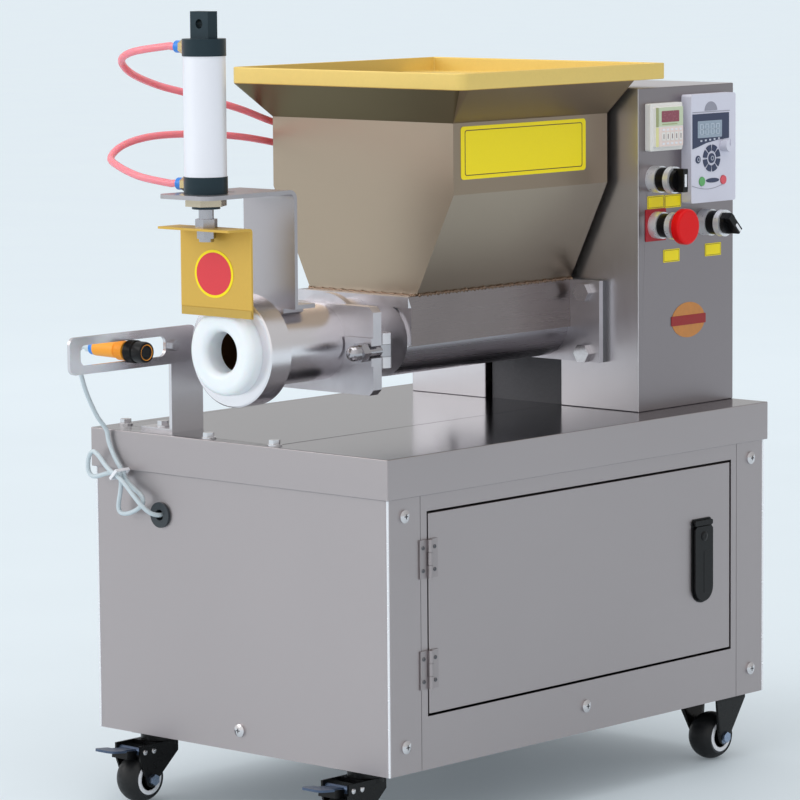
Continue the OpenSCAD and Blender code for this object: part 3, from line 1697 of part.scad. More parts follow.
module sensor_bracket() {
  color("gray") on_deck() difference() {
    union() {
      outward_from(-arm_x - arm_t) linear_extrude(arm_t) difference() {
        translate([(arm_front_y + arm_back_y)/2, arm_low + arm_h/2]) rounded_rect(arm_l, arm_h, arm_r);
        translate([arm_front_y + arm_slot_front + arm_slot_l/2, arm_low + arm_h/2])
          rounded_rect(arm_slot_l, arm_slot_h, arm_slot_h/3);
      }
      translate([-arm_x - 2*arm_t, arm_post_y - post_l/2, 0]) cube([arm_t, post_l, post_rise]);
      translate([-arm_x - 2*arm_t - foot_l, arm_post_y - post_l/2, 0]) cube([foot_l + arm_t, post_l, arm_t]);
    }
    at_arm_bolt() translate([0, 0, -3*arm_t]) cylinder(h = 4*arm_t, r = cover_bolt_r + seat_gap);
    at_foot_bolts() translate([0, 0, -over]) cylinder(h = 2*arm_t, r = cover_bolt_r + seat_gap);
  }
}

module sensor() {
  tip_x = -arm_x + sensor_reach;
  color("orange") on_deck() translate([0, sensor_y, sensor_rise]) rotate([0, 90, 0]) {
    translate([0, 0, tip_x - sensor_l]) cylinder(h = sensor_l, r = sensor_d/2);
    translate([0, 0, -arm_x + sensor_nut_t])
      cylinder(h = sensor_reach - sensor_nut_t, r = sensor_head_r);
    for (x = [-arm_x, -arm_x - arm_t - sensor_nut_t])
      translate([0, 0, x]) ring_solid(sensor_nut_r, sensor_d/2 + run_gap, sensor_nut_t);
  }
}

module sensor_cable() {
  color("lightsteelblue") on_deck() tube_along(cable_route, cable_r, cable_sides);
}

module cable_tie() {
  inner_l = 2*strand_step + 2*cable_r + 2*tie_gap;
  color("gray") on_deck() translate(tie_point) rotate([0, -45, 0]) difference() {
    cube([tie_w + 2*tie_wall, inner_l + 2*tie_wall, tie_h], center = true);
    cube([tie_w, inner_l, 2*tie_h], center = true);
  }
}

// Controls
module speed_drive() {
  color("lavender") on_tower(drive_setback, drive_rise) difference() {
    linear_extrude(drive_d) translate([drive_w/2, drive_h/2]) rounded_rect(drive_w, drive_h, drive_r);
    for (setback = [run_key_setback, stop_key_setback])
      translate([setback, key_rise, drive_d - key_pocket])
        cylinder(h = key_pocket + over, r = key_r + key_gap);
    translate([knob_setback, knob_rise, drive_d - knob_shaft_l - move_gap])
      cylinder(h = knob_shaft_l + move_gap + over, r = knob_shaft_r + run_gap);
  }
}

module speed_knob() {
  color("whitesmoke") on_tower(drive_setback + knob_setback, drive_rise + knob_rise) difference() {
    translate([0, 0, drive_d]) {
      translate([0, 0, move_gap]) cylinder(h = knob_l, r = knob_r);
      translate([0, 0, -knob_shaft_l]) cylinder(h = knob_shaft_l + over, r = knob_shaft_r);
    }
    translate([-knob_line_w/2, 0, drive_d + move_gap + knob_l - knob_line_w])
      cube([knob_line_w, 2*knob_r, 2*knob_line_w]);
  }
}

module drive_key(setback) {
  on_tower(drive_setback + setback, drive_rise + key_rise)
    translate([0, 0, drive_d - key_pocket + key_travel + seat_gap])
      cylinder(h = key_pocket + key_proud - key_travel - seat_gap, r = key_r);
}

module run_key() {
  color("green") drive_key(run_key_setback);
}

module stop_key() {
  color("red") drive_key(stop_key_setback);
}

module time_relay() {
  color("ivory") on_tower(relay_setback, relay_rise) translate([relay_w/2, relay_h/2, 0]) {
    linear_extrude(relay_d - relay_step) rounded_rect(relay_w, relay_h, relay_r);
    linear_extrude(relay_d) rounded_rect(relay_w - 2*relay_step, relay_h - 2*relay_step, relay_r);
  }
}

module switch_base() {
  difference() {
    union() {
      translate([0, 0, -base_spigot_l]) cylinder(h = base_spigot_l + over, r = base_spigot_r);
      cylinder(h = base_flange_t, r = base_flange_r);
      cylinder(h = base_flange_t + base_body_l + over, r = base_body_r);
      translate([0, 0, base_flange_t + base_body_l]) cylinder(h = base_ring_l, r = base_flange_r);
    }
    translate([0, 0, base_l - base_stem_l - stop_travel - move_gap])
      cylinder(h = base_stem_l + stop_travel + move_gap + over, r = base_stem_r + run_gap);
  }
}

module switch_bases() {
  color("silver") at_switches() switch_base();
}

module stop_button() {
  head_z = base_l + stop_travel + move_gap;
  head_r = stop_head_d/2;
  color("red") on_tower(stop_setback, stop_rise) {
    translate([0, 0, base_l - base_stem_l]) cylinder(h = base_stem_l + stop_travel + 2*over, r = base_stem_r);
    translate([0, 0, head_z]) rotate_extrude() polygon(concat(
      [[0, 0], [head_r - stop_head_round, 0]],
      arc([head_r - stop_head_round, stop_head_round], stop_head_round, -90, 0, 4),
      arc([head_r - stop_head_round, stop_head_l - stop_head_round], stop_head_round, 0, 90, 4),
      [[0, stop_head_l]]));
  }
}

module selector(turn) {
  translate([0, 0, base_l - base_stem_l]) cylinder(h = base_stem_l + over, r = base_stem_r);
  translate([0, 0, base_l + move_gap]) {
    cylinder(h = selector_disc_l, r = selector_r);
    rotate([0, 0, turn]) translate([-selector_bar_w/2, -selector_bar_l/2, 0])
      cube([selector_bar_w, selector_bar_l, selector_disc_l + selector_bar_h]);
  }
}

module selector_left() {
  color("black") on_tower(selector_left_setback, selector_left_rise) selector(0);
}

module selector_right() {
  color("black") on_tower(selector_right_setback, selector_right_rise) selector(45);
}

base_tray();
front_panel();
rear_panel();
right_panel();
left_panel();
top_cover();
panel_screws();
cable_grommets();
door();
hinge_frame_leaves();
hinge_door_leaves();
latch_bezel();
latch_lever();
caster_brackets();
fork_left();
fork_right();
brake_pedal_left();
brake_pedal_right();
wheel_front_left();
wheel_front_right();
wheel_rear_left();
wheel_rear_right();
control_tower();
gear_case();
bearing_set();
screw_right();
screw_left();
timing_gear_right();
timing_gear_left();
gearmotor();
barrel();
hopper();
hopper_rim();
nozzle_body();
nozzle_ring();
nozzle();
hex_bolts();
swing_bolt_right();
swing_bolt_left();
cylinder_bracket();
cylinder_tube();
cylinder_caps();
piston_rod();
cutter_blade();
air_fittings();
air_hose_upper();
air_hose_lower();
sensor_bracket();
sensor();
sensor_cable();
cable_tie();
speed_drive();
speed_knob();
run_key();
stop_key();
time_relay();
switch_bases();
stop_button();
selector_left();
selector_right();
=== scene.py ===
import math
import bmesh
import bpy
from mathutils import Matrix, Vector


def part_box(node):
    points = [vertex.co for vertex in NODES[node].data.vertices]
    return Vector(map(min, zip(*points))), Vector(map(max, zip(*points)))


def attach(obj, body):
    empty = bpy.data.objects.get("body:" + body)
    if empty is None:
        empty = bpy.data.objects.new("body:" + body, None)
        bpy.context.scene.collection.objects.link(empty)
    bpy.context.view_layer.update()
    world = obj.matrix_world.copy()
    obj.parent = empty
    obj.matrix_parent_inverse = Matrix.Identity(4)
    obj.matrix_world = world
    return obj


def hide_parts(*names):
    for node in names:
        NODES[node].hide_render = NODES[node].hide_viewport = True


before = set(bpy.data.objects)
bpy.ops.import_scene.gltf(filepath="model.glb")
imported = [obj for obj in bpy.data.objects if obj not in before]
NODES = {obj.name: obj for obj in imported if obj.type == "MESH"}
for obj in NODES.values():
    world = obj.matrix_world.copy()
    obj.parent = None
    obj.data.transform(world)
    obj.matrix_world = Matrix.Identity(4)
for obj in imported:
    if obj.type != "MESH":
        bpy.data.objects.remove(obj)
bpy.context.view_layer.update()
scene = bpy.context.scene

# Places are given in millimetres from the middle of the cover's top: across, along, above.
COVER_MIDDLE = Vector((0.0, 61.3, 410.0))


def at(x, y, z):
    """A place in millimetres from the cover's middle, in metres in the row frame."""
    return (Vector((x, y, z)) + COVER_MIDDLE) / 1000


def srgb(r, g, b):
    """A colour as seen, 0 to 255, as linear values."""
    def linear(v):
        v /= 255
        return v / 12.92 if v <= 0.04045 else ((v + 0.055) / 1.055) ** 2.4
    return (linear(r), linear(g), linear(b))


# Camera, fitted to the photo
AZIMUTH, ELEVATION, ROLL = (math.radians(a) for a in (42.19, 6.834, -0.456))
CAMERA_PLACE = Vector((3.0944, -3.4122, 0.9835))
SENSOR_WIDTH, LENS = 36, 188.47


def make_camera():
    back = Vector((math.sin(AZIMUTH) * math.cos(ELEVATION),
                   -math.cos(AZIMUTH) * math.cos(ELEVATION), math.sin(ELEVATION)))
    level = Vector((math.cos(AZIMUTH), math.sin(AZIMUTH), 0))
    rise = back.cross(level)
    right = level * math.cos(ROLL) + rise * math.sin(ROLL)
    up = rise * math.cos(ROLL) - level * math.sin(ROLL)
    data = bpy.data.cameras.new("camera")
    data.sensor_width = SENSOR_WIDTH
    data.lens = LENS
    data.clip_end = 50
    camera = bpy.data.objects.new("camera", data)
    scene.collection.objects.link(camera)
    placed = Matrix((right, up, back)).transposed().to_4x4()
    placed.translation = CAMERA_PLACE
    camera.matrix_world = placed
    scene.camera = camera


make_camera()


# Materials
class Shader:
    """A principled material and the nodes that feed it."""

    def __init__(self, name):
        self.material = bpy.data.materials.new(name)
        self.material.use_nodes = True
        self.tree = self.material.node_tree
        self.main = self.tree.nodes["Principled BSDF"]
        self.place = self.node("ShaderNodeTexCoord").outputs["Object"]

    def node(self, kind, **values):
        """A new node, with values for its properties or its inputs."""
        made = self.tree.nodes.new(kind)
        for key, value in values.items():
            if hasattr(made, key):
                setattr(made, key, value)
            else:
                made.inputs[key].default_value = value
        return made

    def link(self, source, target):
        self.tree.links.new(source, target)

    def noise(self, stretch, detail):
        mapping = self.node("ShaderNodeMapping")
        mapping.inputs["Scale"].default_value = stretch
        self.link(self.place, mapping.inputs["Vector"])
        texture = self.node("ShaderNodeTexNoise", Scale=1.0, Detail=detail)
        self.link(mapping.outputs["Vector"], texture.inputs["Vector"])
        return texture.outputs["Fac"]

    def span(self, value, low, high, start=0.3, end=0.7):
        """Takes a value from the range start to end, where noise mostly lies, to the range low to high."""
        ranged = self.node("ShaderNodeMapRange")
        for key, number in (("From Min", start), ("From Max", end), ("To Min", low), ("To Max", high)):
            ranged.inputs[key].default_value = number
        self.link(value, ranged.inputs["Value"])
        return ranged.outputs["Result"]

    def mix(self, factor, one, two):
        """Mixes two colours; each of the three is a value or another node's output."""
        mixed = self.node("ShaderNodeMix", data_type="RGBA")
        for socket, value in ((mixed.inputs[0], factor), (mixed.inputs[6], one), (mixed.inputs[7], two)):
            if isinstance(value, bpy.types.NodeSocket):
                self.link(value, socket)
            else:
                socket.default_value = (*value, 1) if isinstance(value, tuple) else value
        return mixed.outputs[2]

    def bump(self, height, strength, distance):
        bumped = self.node("ShaderNodeBump", Strength=strength, Distance=distance)
        self.link(height, bumped.inputs["Height"])
        self.link(bumped.outputs["Normal"], self.main.inputs["Normal"])


def shade(colour, amount):
    return tuple(min(1.0, c * amount) for c in colour)


def surface(name, colour, metallic, rough, rough_spread, spread, grain, bump,
            depth=0.0002, blotch=3.0, blotch_spread=0.04, **sockets):
    """Colour, roughness and bump from stretched noise.

    Grain is how many noise cells lie on a metre along each axis, blotch how many large soft patches.
    """
    made = Shader(name)
    fine = made.noise(grain, 4.0)
    wide = made.noise((blotch,) * 3, 2.0)
    streaked = made.mix(made.span(fine, 0, 1), shade(colour, 1 - spread), shade(colour, 1 + spread))
    toned = made.mix(made.span(wide, 0, 1), shade(colour, 1 - blotch_spread),
                     shade(colour, 1 + blotch_spread))
    made.link(made.mix(0.5, streaked, toned), made.main.inputs["Base Color"])
    made.link(made.span(fine, rough - rough_spread, rough + rough_spread), made.main.inputs["Roughness"])
    made.bump(fine, bump, depth)
    made.main.inputs["Metallic"].default_value = metallic
    for key, value in sockets.items():
        made.main.inputs[key.replace("_", " ")].default_value = value
    return made.material


# Grains: lines brushed level or upright, and even ones for metal, coatings and plastics
LEVEL, UPRIGHT = (16, 16, 1800), (1800, 1800, 16)
EVEN, SOFT, FINE = (300, 300, 300), (260, 260, 260), (420, 420, 420)
MATERIALS = {
    "panel": surface("panel_steel_satin", srgb(175, 168, 169), 1.0, 0.42, 0.03, 0.02, LEVEL, 0.02),
    "cover": surface("cover_steel_polished", srgb(150, 148, 152), 1.0, 0.15, 0.02, 0.02,
                     (900, 16, 900), 0.01),
    "tower": surface("tower_steel_brushed", srgb(216, 213, 216), 1.0, 0.34, 0.03, 0.02, UPRIGHT, 0.02),
    # A darker copy of the tower's steel for its right side: painted shade.
    "tower_side": surface("tower_side_painted_shade", srgb(147, 140, 142), 1.0, 0.34, 0.03, 0.02, UPRIGHT, 0.02),
    "machined": surface("machined_steel_polished", srgb(214, 211, 214), 1.0, 0.26, 0.01, 0.008,
                        (16, 500, 16), 0.003),
    "bright_steel": surface("nozzle_steel_polished", srgb(236, 233, 236), 1.0, 0.26, 0.008, 0.006,
                            (16, 500, 16), 0.002),
    # The barrel's steel is darker than the other steels: painted shade. Its lower half gets a lighter copy:
    # painted light.
    "barrel": surface("barrel_steel_shaded", srgb(134, 124, 122), 1.0, 0.28, 0.015, 0.012,
                      (500, 8, 500), 0.003, blotch=14.0, blotch_spread=0.08),
    "barrel_low": surface("barrel_lower_half_painted_light", srgb(168, 165, 170), 1.0, 0.28, 0.015, 0.012,
                          (500, 8, 500), 0.003),
    "plate": surface("plate_steel_satin", srgb(204, 201, 205), 1.0, 0.38, 0.05, 0.05, (90, 90, 90), 0.03,
                     blotch=30.0, blotch_spread=0.12),
    "bracket": surface("bracket_steel_satin", srgb(178, 174, 177), 1.0, 0.34, 0.02, 0.012,
                       (500, 500, 16), 0.005),
    "bolt": surface("bolt_steel_plated", srgb(178, 176, 180), 1.0, 0.22, 0.04, 0.04, EVEN, 0.03),
    # Brighter steel for the beads along the cabinet's corners: painted highlight.
    "bright_edge": surface("corner_painted_highlight", srgb(240, 239, 242), 0.7, 0.25, 0.03, 0.02, EVEN, 0.01),
    "hinge": surface("hinge_steel_satin", srgb(166, 159, 160), 1.0, 0.42, 0.03, 0.03, EVEN, 0.03),
    "hopper": surface("hopper_steel_brushed", srgb(168, 153, 135), 1.0, 0.33, 0.03, 0.02, LEVEL, 0.02),
    # Darker copies of the hopper's steel, chosen by the way faces point: painted shade.
    "hopper_taper": surface("hopper_taper_shaded", srgb(156, 145, 131), 1.0, 0.33, 0.03, 0.02, LEVEL, 0.02),
    "hopper_taper_side": surface("hopper_taper_side_shaded", srgb(164, 151, 135), 1.0, 0.33, 0.03, 0.02,
                                 LEVEL, 0.02),
    "hopper_side": surface("hopper_side_painted_shade", srgb(152, 136, 118), 1.0, 0.33, 0.03, 0.02, LEVEL, 0.02),
    "hopper_flare": surface("hopper_flare_shaded", srgb(104, 93, 68), 1.0, 0.36, 0.03, 0.03, LEVEL, 0.02),
    "hopper_flare_side": surface("hopper_flare_side_shaded", srgb(146, 128, 104), 1.0, 0.36, 0.03, 0.03,
                                 LEVEL, 0.02),
    "weld": surface("weld_bead_tarnished", srgb(128, 108, 92), 0.9, 0.32, 0.1, 0.4,
                    (700, 700, 700), 0.5, 0.0005),
    "gold": surface("gold_coated_steel", srgb(212, 172, 74), 0.3, 0.42, 0.04, 0.03, SOFT, 0.04),
    "rim_gold": surface("gold_coated_rim", srgb(230, 200, 114), 0.3, 0.4, 0.04, 0.03, SOFT, 0.04),
    "gold_edge": surface("gold_ground_edge", srgb(196, 162, 78), 0.4, 0.36, 0.04, 0.03, SOFT, 0.04),
    "black_paint": surface("black_enamel", srgb(9, 9, 10), 0.0, 0.3, 0.05, 0.2, (120, 120, 120), 0.05,
                           Specular_IOR_Level=0.25),
    "zinc": surface("bright_zinc", srgb(212, 210, 212), 1.0, 0.17, 0.03, 0.03, EVEN, 0.02),
    "switch_ring": surface("satin_switch_ring", srgb(236, 237, 240), 0.6, 0.3, 0.03, 0.02, EVEN, 0.02),
    "blue_zinc": surface("blued_zinc", srgb(150, 166, 190), 1.0, 0.3, 0.06, 0.06, EVEN, 0.08),
    "warm_nut": surface("plated_nut", srgb(196, 184, 162), 1.0, 0.3, 0.05, 0.05, EVEN, 0.06),
    "cast": surface("dark_casting", srgb(98, 98, 102), 0.2, 0.6, 0.1, 0.15, (160, 160, 160), 0.5, 0.0006),
    "motor": surface("motor_enamel", srgb(88, 104, 122), 0.1, 0.45, 0.08, 0.1, (140, 140, 140), 0.3),
    "tyre": surface("black_tyre_rubber", srgb(24, 25, 27), 0.0, 0.5, 0.12, 0.3, (220, 220, 220), 0.5, 0.0005,
                    Specular_IOR_Level=0.35),
    "hub": surface("dark_hub_plastic", srgb(44, 46, 50), 0.0, 0.45, 0.06, 0.15, FINE, 0.1),
    "pedal": surface("pedal_plated_steel", srgb(74, 90, 114), 0.6, 0.38, 0.1, 0.15, (150, 150, 150), 0.1),
    "white": surface("white_food_plastic", srgb(240, 244, 248), 0.0, 0.32, 0.04, 0.015, (90, 90, 90), 0.03,
                     Subsurface_Weight=0.12),
    "white_plain": surface("white_moulded_plastic", srgb(232, 233, 238), 0.0, 0.4, 0.05, 0.02, FINE, 0.06),
    "black_plastic": surface("black_moulded_plastic", srgb(9, 9, 11), 0.0, 0.3, 0.03, 0.2, FINE, 0.03,
                             Specular_IOR_Level=0.25),
    "drive": surface("pale_drive_plastic", srgb(214, 214, 228), 0.0, 0.42, 0.05, 0.02, FINE, 0.1),
    "relay": surface("ivory_relay_plastic", srgb(230, 228, 224), 0.0, 0.4, 0.05, 0.02, FINE, 0.1),
    "red": surface("red_button_plastic", srgb(224, 10, 16), 0.0, 0.34, 0.02, 0.03, FINE, 0.01,
                   Specular_IOR_Level=0.2),
    "dark_red": surface("dark_red_enamel", srgb(168, 30, 42), 0.0, 0.4, 0.03, 0.05, FINE, 0.02,
                        Specular_IOR_Level=0.3),
    "green": surface("green_key_rubber", srgb(98, 172, 104), 0.0, 0.5, 0.05, 0.05, FINE, 0.08),
    "red_key": surface("red_key_rubber", srgb(222, 88, 100), 0.0, 0.5, 0.05, 0.05, FINE, 0.08),
    "tube": surface("anodised_tube", srgb(236, 237, 244), 0.3, 0.34, 0.03, 0.01, (900, 900, 16), 0.01),
    "cap": surface("dark_anodised_cap", srgb(30, 48, 56), 0.5, 0.34, 0.04, 0.06, SOFT, 0.03),
    "brass": surface("turned_brass", srgb(214, 190, 142), 1.0, 0.28, 0.06, 0.05, (400, 400, 400), 0.06),
    "hose": surface("red_air_hose", srgb(255, 138, 150), 0.0, 0.22, 0.03, 0.05, (60, 60, 60), 0.02,
                    Transmission_Weight=0.05, Subsurface_Weight=0.35),
    "cable": surface("pale_cable_sheath", srgb(196, 208, 214), 0.0, 0.5, 0.05, 0.03, EVEN, 0.08),
    "rubber": surface("dark_rubber", srgb(40, 48, 54), 0.0, 0.42, 0.08, 0.15, SOFT, 0.15),
    "orange": surface("orange_sensor_body", srgb(246, 160, 28), 0.0, 0.4, 0.05, 0.03, FINE, 0.06),
    "blue": surface("blue_collar_plastic", srgb(40, 128, 218), 0.0, 0.35, 0.05, 0.04, FINE, 0.06),
    # Dark brown for the bores of the nozzle body and the neck.
    "brown": surface("bore_dark_brown", srgb(74, 48, 24), 0.2, 0.4, 0.1, 0.25, (60, 60, 60), 0.2),
    "label": surface("yellow_label_film", srgb(252, 228, 24), 0.0, 0.4, 0.05, 0.02, FINE, 0.02,
                     Specular_IOR_Level=0.3),
    "label_line": surface("label_print_line", srgb(96, 74, 30), 0.0, 0.42, 0.05, 0.1, FINE, 0.03),
    "disc_red": surface("red_decal_film", srgb(222, 52, 62), 0.0, 0.36, 0.05, 0.03, FINE, 0.03),
    "disc_orange": surface("orange_decal_film", srgb(196, 128, 58), 0.0, 0.4, 0.06, 0.12,
                           (130, 130, 130), 0.03),
    "band_red": surface("red_decal_band", srgb(150, 18, 18), 0.0, 0.4, 0.06, 0.08, (130, 130, 130), 0.03),
    "navy": surface("navy_print", srgb(46, 56, 86), 0.0, 0.36, 0.05, 0.06, FINE, 0.03),
    "lcd": surface("display_glass", srgb(150, 164, 180), 0.0, 0.22, 0.04, 0.03, FINE, 0.01),
    "digit": surface("display_digits", srgb(184, 196, 208), 0.0, 0.3, 0.04, 0.03, FINE, 0.01),
    "mark": surface("pale_print", srgb(196, 200, 214), 0.0, 0.42, 0.05, 0.04, FINE, 0.02),
    # Grey for print, and for the painted shadow of a groove on the speed drive.
    "grey_print": surface("grey_print", srgb(150, 150, 164), 0.0, 0.45, 0.05, 0.05, FINE, 0.02),
    "red_display": surface("red_display_glass", srgb(142, 72, 86), 0.0, 0.25, 0.04, 0.06, FINE, 0.01),
    "pale_green": surface("pale_green_print", srgb(198, 210, 180), 0.0, 0.42, 0.05, 0.03, FINE, 0.02),
    "olive": surface("olive_print", srgb(160, 166, 118), 0.0, 0.42, 0.05, 0.05, FINE, 0.02),
    "pale_yellow": surface("pale_yellow_print", srgb(226, 222, 160), 0.0, 0.42, 0.05, 0.04, FINE, 0.02),
    "pink": surface("pale_pink_print", srgb(234, 216, 210), 0.0, 0.42, 0.05, 0.03, FINE, 0.02),
    "dark_mark": surface("dark_print", srgb(112, 84, 84), 0.0, 0.45, 0.05, 0.08, FINE, 0.02),
    "dark_screw": surface("dark_screw_head", srgb(110, 110, 114), 0.9, 0.36, 0.05, 0.1, FINE, 0.03),
    # Dark crosses on screw heads stand for their recesses: painted shade.
    "recess": surface("screw_recess_painted_shade", srgb(96, 96, 100), 0.8, 0.5, 0.05, 0.1, FINE, 0.05),
}
NODE_LOOKS = {
    "panel": ("front_panel", "rear_panel", "right_panel", "left_panel", "door"),
    "cover": ("top_cover",),
    "tower": ("control_tower",),
    "machined": ("screw_right", "screw_left", "timing_gear_right", "timing_gear_left", "sensor_bracket"),
    "bright_steel": ("nozzle_body", "nozzle_ring"),
    "bracket": ("cylinder_bracket",),
    "barrel": ("barrel",),
    "hinge": ("hinge_frame_leaves", "hinge_door_leaves"),
    "hopper": ("hopper",),
    "gold": ("cutter_blade",),
    "rim_gold": ("hopper_rim",),
    "black_paint": ("caster_brackets", "fork_left", "fork_right"),
    "zinc": ("panel_screws", "bearing_set", "hex_bolts"),
    "bolt": ("swing_bolt_right", "swing_bolt_left", "piston_rod"),
    "switch_ring": ("switch_bases",),
    "cast": ("base_tray", "gear_case"),
    "motor": ("gearmotor",),
    "tyre": ("wheel_front_left", "wheel_front_right", "wheel_rear_left", "wheel_rear_right"),
    "pedal": ("brake_pedal_left", "brake_pedal_right"),
    "white": ("nozzle",),
    "black_plastic": ("latch_bezel", "latch_lever", "selector_left", "selector_right"),
    "white_plain": ("cable_tie",),
    "drive": ("speed_drive", "speed_knob"),
    "relay": ("time_relay",),
    "red": ("stop_button",),
    "red_key": ("stop_key",),
    "green": ("run_key",),
    "tube": ("cylinder_tube",),
    "cap": ("cylinder_caps",),
    "brass": ("air_fittings",),
    "rubber": ("cable_grommets",),
    "orange": ("sensor",),
    "hose": ("air_hose_upper", "air_hose_lower"),
    "cable": ("sensor_cable",),
}
for look, names in NODE_LOOKS.items():
    for name in names:
        slots = NODES[name].data.materials
        slots.clear()
        slots.append(MATERIALS[look])


# Cords: the routes are those of the solids
LOOP_PITCH = 6     # how far forward one turn of the tied cable takes it
LOOP_FILL = 0.65   # makes a loop as wide as it is asked to be


def smooth_route(points, steps):
    """A smooth line through every point, with so many steps from each to the next."""
    points = [Vector(p) for p in points]
    made = []
    for i in range(len(points) - 1):
        a, b = points[max(i - 1, 0)], points[i]
        c, d = points[i + 1], points[min(i + 2, len(points) - 1)]
        for k in range(steps):
            t = k / steps
            made.append((2 * b + (c - a) * t + (2 * a - 5 * b + 4 * c - d) * t ** 2
                         + (3 * b - a - 3 * c + d) * t ** 3) / 2)
    return made + [points[-1]]


def tied_loop(start, length, width, angle, rings):
    """A loop that leaves a place and comes back to it a little further forward."""
    turn = math.radians(angle)
    made = []
    for i in range(1, rings + 1):
        s = i / rings
        along = length * math.sin(math.pi * s)
        aside = width * LOOP_FILL * math.sin(2 * math.pi * s) * math.sin(math.pi * s)
        made.append(Vector(start) + Vector((along * math.cos(turn) - aside * math.sin(turn), -LOOP_PITCH * s,
                                            along * math.sin(turn) + aside * math.cos(turn))))
    return made


def cord(name, route, radius, look, node, slot, **facts):
    """A round cord along a route, in place of a solid; the radius is in metres."""
    points = [at(*p) for p in route]
    curve = bpy.data.curves.new(name, "CURVE")
    curve.dimensions = "3D"
    curve.bevel_depth = radius
    curve.bevel_resolution = 5
    curve.use_fill_caps = True
    spline = curve.splines.new("POLY")
    spline.points.add(len(points) - 1)
    for target, point in zip(spline.points, points):
        target.co = (*point, 1)
    spline.use_smooth = True
    piece = bpy.data.objects.new(name, curve)
    scene.collection.objects.link(piece)
    curve.materials.append(MATERIALS[look])
    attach(piece, "frame")
    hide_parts(node)


HOSE_UPPER = [(-40.1, -360, 420.5), (-48, -360, 420.5), (-56, -360, 420.5), (-102, -364, 414),
              (-129, -355, 404), (-141, -329, 389), (-155, -276, 374), (-151, -227, 362), (-154, -150, 343),
              (-158, -80, 323), (-156, 0, 311), (-154, 80, 298), (-152, 118, 292), (-152, 126, 292),
              (-152, 133.9, 292)]
HOSE_LOWER = [(-40.1, -360, 276.5), (-48, -360, 276.5), (-56, -360, 276.5), (-96, -363, 282),
              (-134, -357, 291), (-159, -344, 299), (-167, -316, 311), (-168, -272, 318), (-162, -215, 318),
              (-160, -145, 312), (-160, -75, 300), (-158, 0, 284), (-155, 80, 270), (-152, 118, 262),
              (-152, 126, 262), (-152, 133.9, 262)]
CABLE_START = [(-175.1, -369, 95), (-179, -369, 95), (-183, -369, 95), (-191, -367, 88), (-196, -360, 68),
               (-197, -350, 42), (-194, -338, 16), (-190, -328, 0), (-187, -327, -14), (-178, -327, -30),
               (-165, -327, -46)]
CABLE_END = [(-165, -339, -46), (-152, -338.5, -55), (-140, -338, -66), (-129, -336, -77),
             (-121, -331, -85), (-116.5, -324, -88), (-115.7, -316, -88.2), (-115.7, -308, -88.2)]
STEPS, LOOP_STEPS, HOSE_R, CABLE_R = 8, 48, 0.004, 0.0025
cable_route = (smooth_route(CABLE_START, STEPS) + tied_loop((-165, -327, -46), 44, 38, -67, LOOP_STEPS)
               + tied_loop((-165, -333, -46), 47, 28, 168, LOOP_STEPS) + smooth_route(CABLE_END, STEPS)[1:])
cord("upper_air_hose", smooth_route(HOSE_UPPER, STEPS), HOSE_R, "hose", "air_hose_upper", "hose_red",
     stiffness="medium", lay="loose")
cord("lower_air_hose", smooth_route(HOSE_LOWER, STEPS), HOSE_R, "hose", "air_hose_lower", "hose_red",
     stiffness="medium", lay="loose")
cord("sensor_lead", cable_route, CABLE_R, "cable", "sensor_cable", "cable_grey",
     stiffness="limp", lay="hanging", with_pieces=[NODES["cable_tie"]])


# Softened edges and several looks on one solid
def soften(node, width):
    """Rounds the sharp edges of a solid by a width in millimetres; its own mesh stays as it is."""
    made = NODES[node]
    weld = made.modifiers.new("weld", "WELD")
    weld.merge_threshold = 0.00001
    bevel = made.modifiers.new("edges", "BEVEL")
    bevel.width = width / 1000
    bevel.segments = 2
    bevel.limit_method = "ANGLE"
    bevel.angle_limit = math.radians(40)
    bevel.use_clamp_overlap = False
    normals = made.modifiers.new("normals", "WEIGHTED_NORMAL")
    normals.keep_sharp = False


def paint(node, look, test):
    """Gives another look to the faces that pass a test.

    The test takes a face's middle, in millimetres from the cover's middle, and its normal.
    """
    mesh = NODES[node].data
    mesh.materials.append(MATERIALS[look])
    index = len(mesh.materials) - 1
    for polygon in mesh.polygons:
        if test(polygon.center * 1000 - COVER_MIDDLE, polygon.normal):
            polygon.material_index = index


# Places on the solids; casters are measured from the floor
SIDES = ((-1, "left"), (1, "right"))
FLOOR_Z = -COVER_MIDDLE.z
FRONT_CASTER_X, REAR_CASTER_X, AXLE_Z = 155, 180, 27 + FLOOR_Z
FRONT_AXLE_Y, REAR_AXLE_Y, AXLE_R = -318.9, 267.9, 7
PEDAL_PIN_Y, PEDAL_PIN_Z, PEDAL_SLOPE = -329.9, 58.65 + FLOOR_Z, 0.105
CHEEK, HUB, HUB_R = 20, 15, 19.5   # half widths of a fork and a hub, and the hub's radius
TAPER_Z, FLARE_Z = 257, 334        # the hopper's walls are upright between these
BORE_Z, NOZZLE_BORE_R, NECK_BORE_R = 98, 34.5, 39
BARREL_END, BARREL_CAP, BARREL_MID_Z = 131, 118, 92   # neck and rear flange lie past its ends
NOZZLE_PLATE_Y = -205              # the nozzle's plate and its pads lie behind this
CYLINDER_Y, CYLINDER_NUT_Z, CYLINDER_NUT_R = -360, 262.9, 15.2

for node, width in (("top_cover", 1.0), ("door", 0.8), ("control_tower", 1.0), ("hopper_rim", 1.2),
                    ("time_relay", 0.6)):
    soften(node, width)
paint("top_cover", "panel", lambda p, n: abs(n.z) < 0.3)
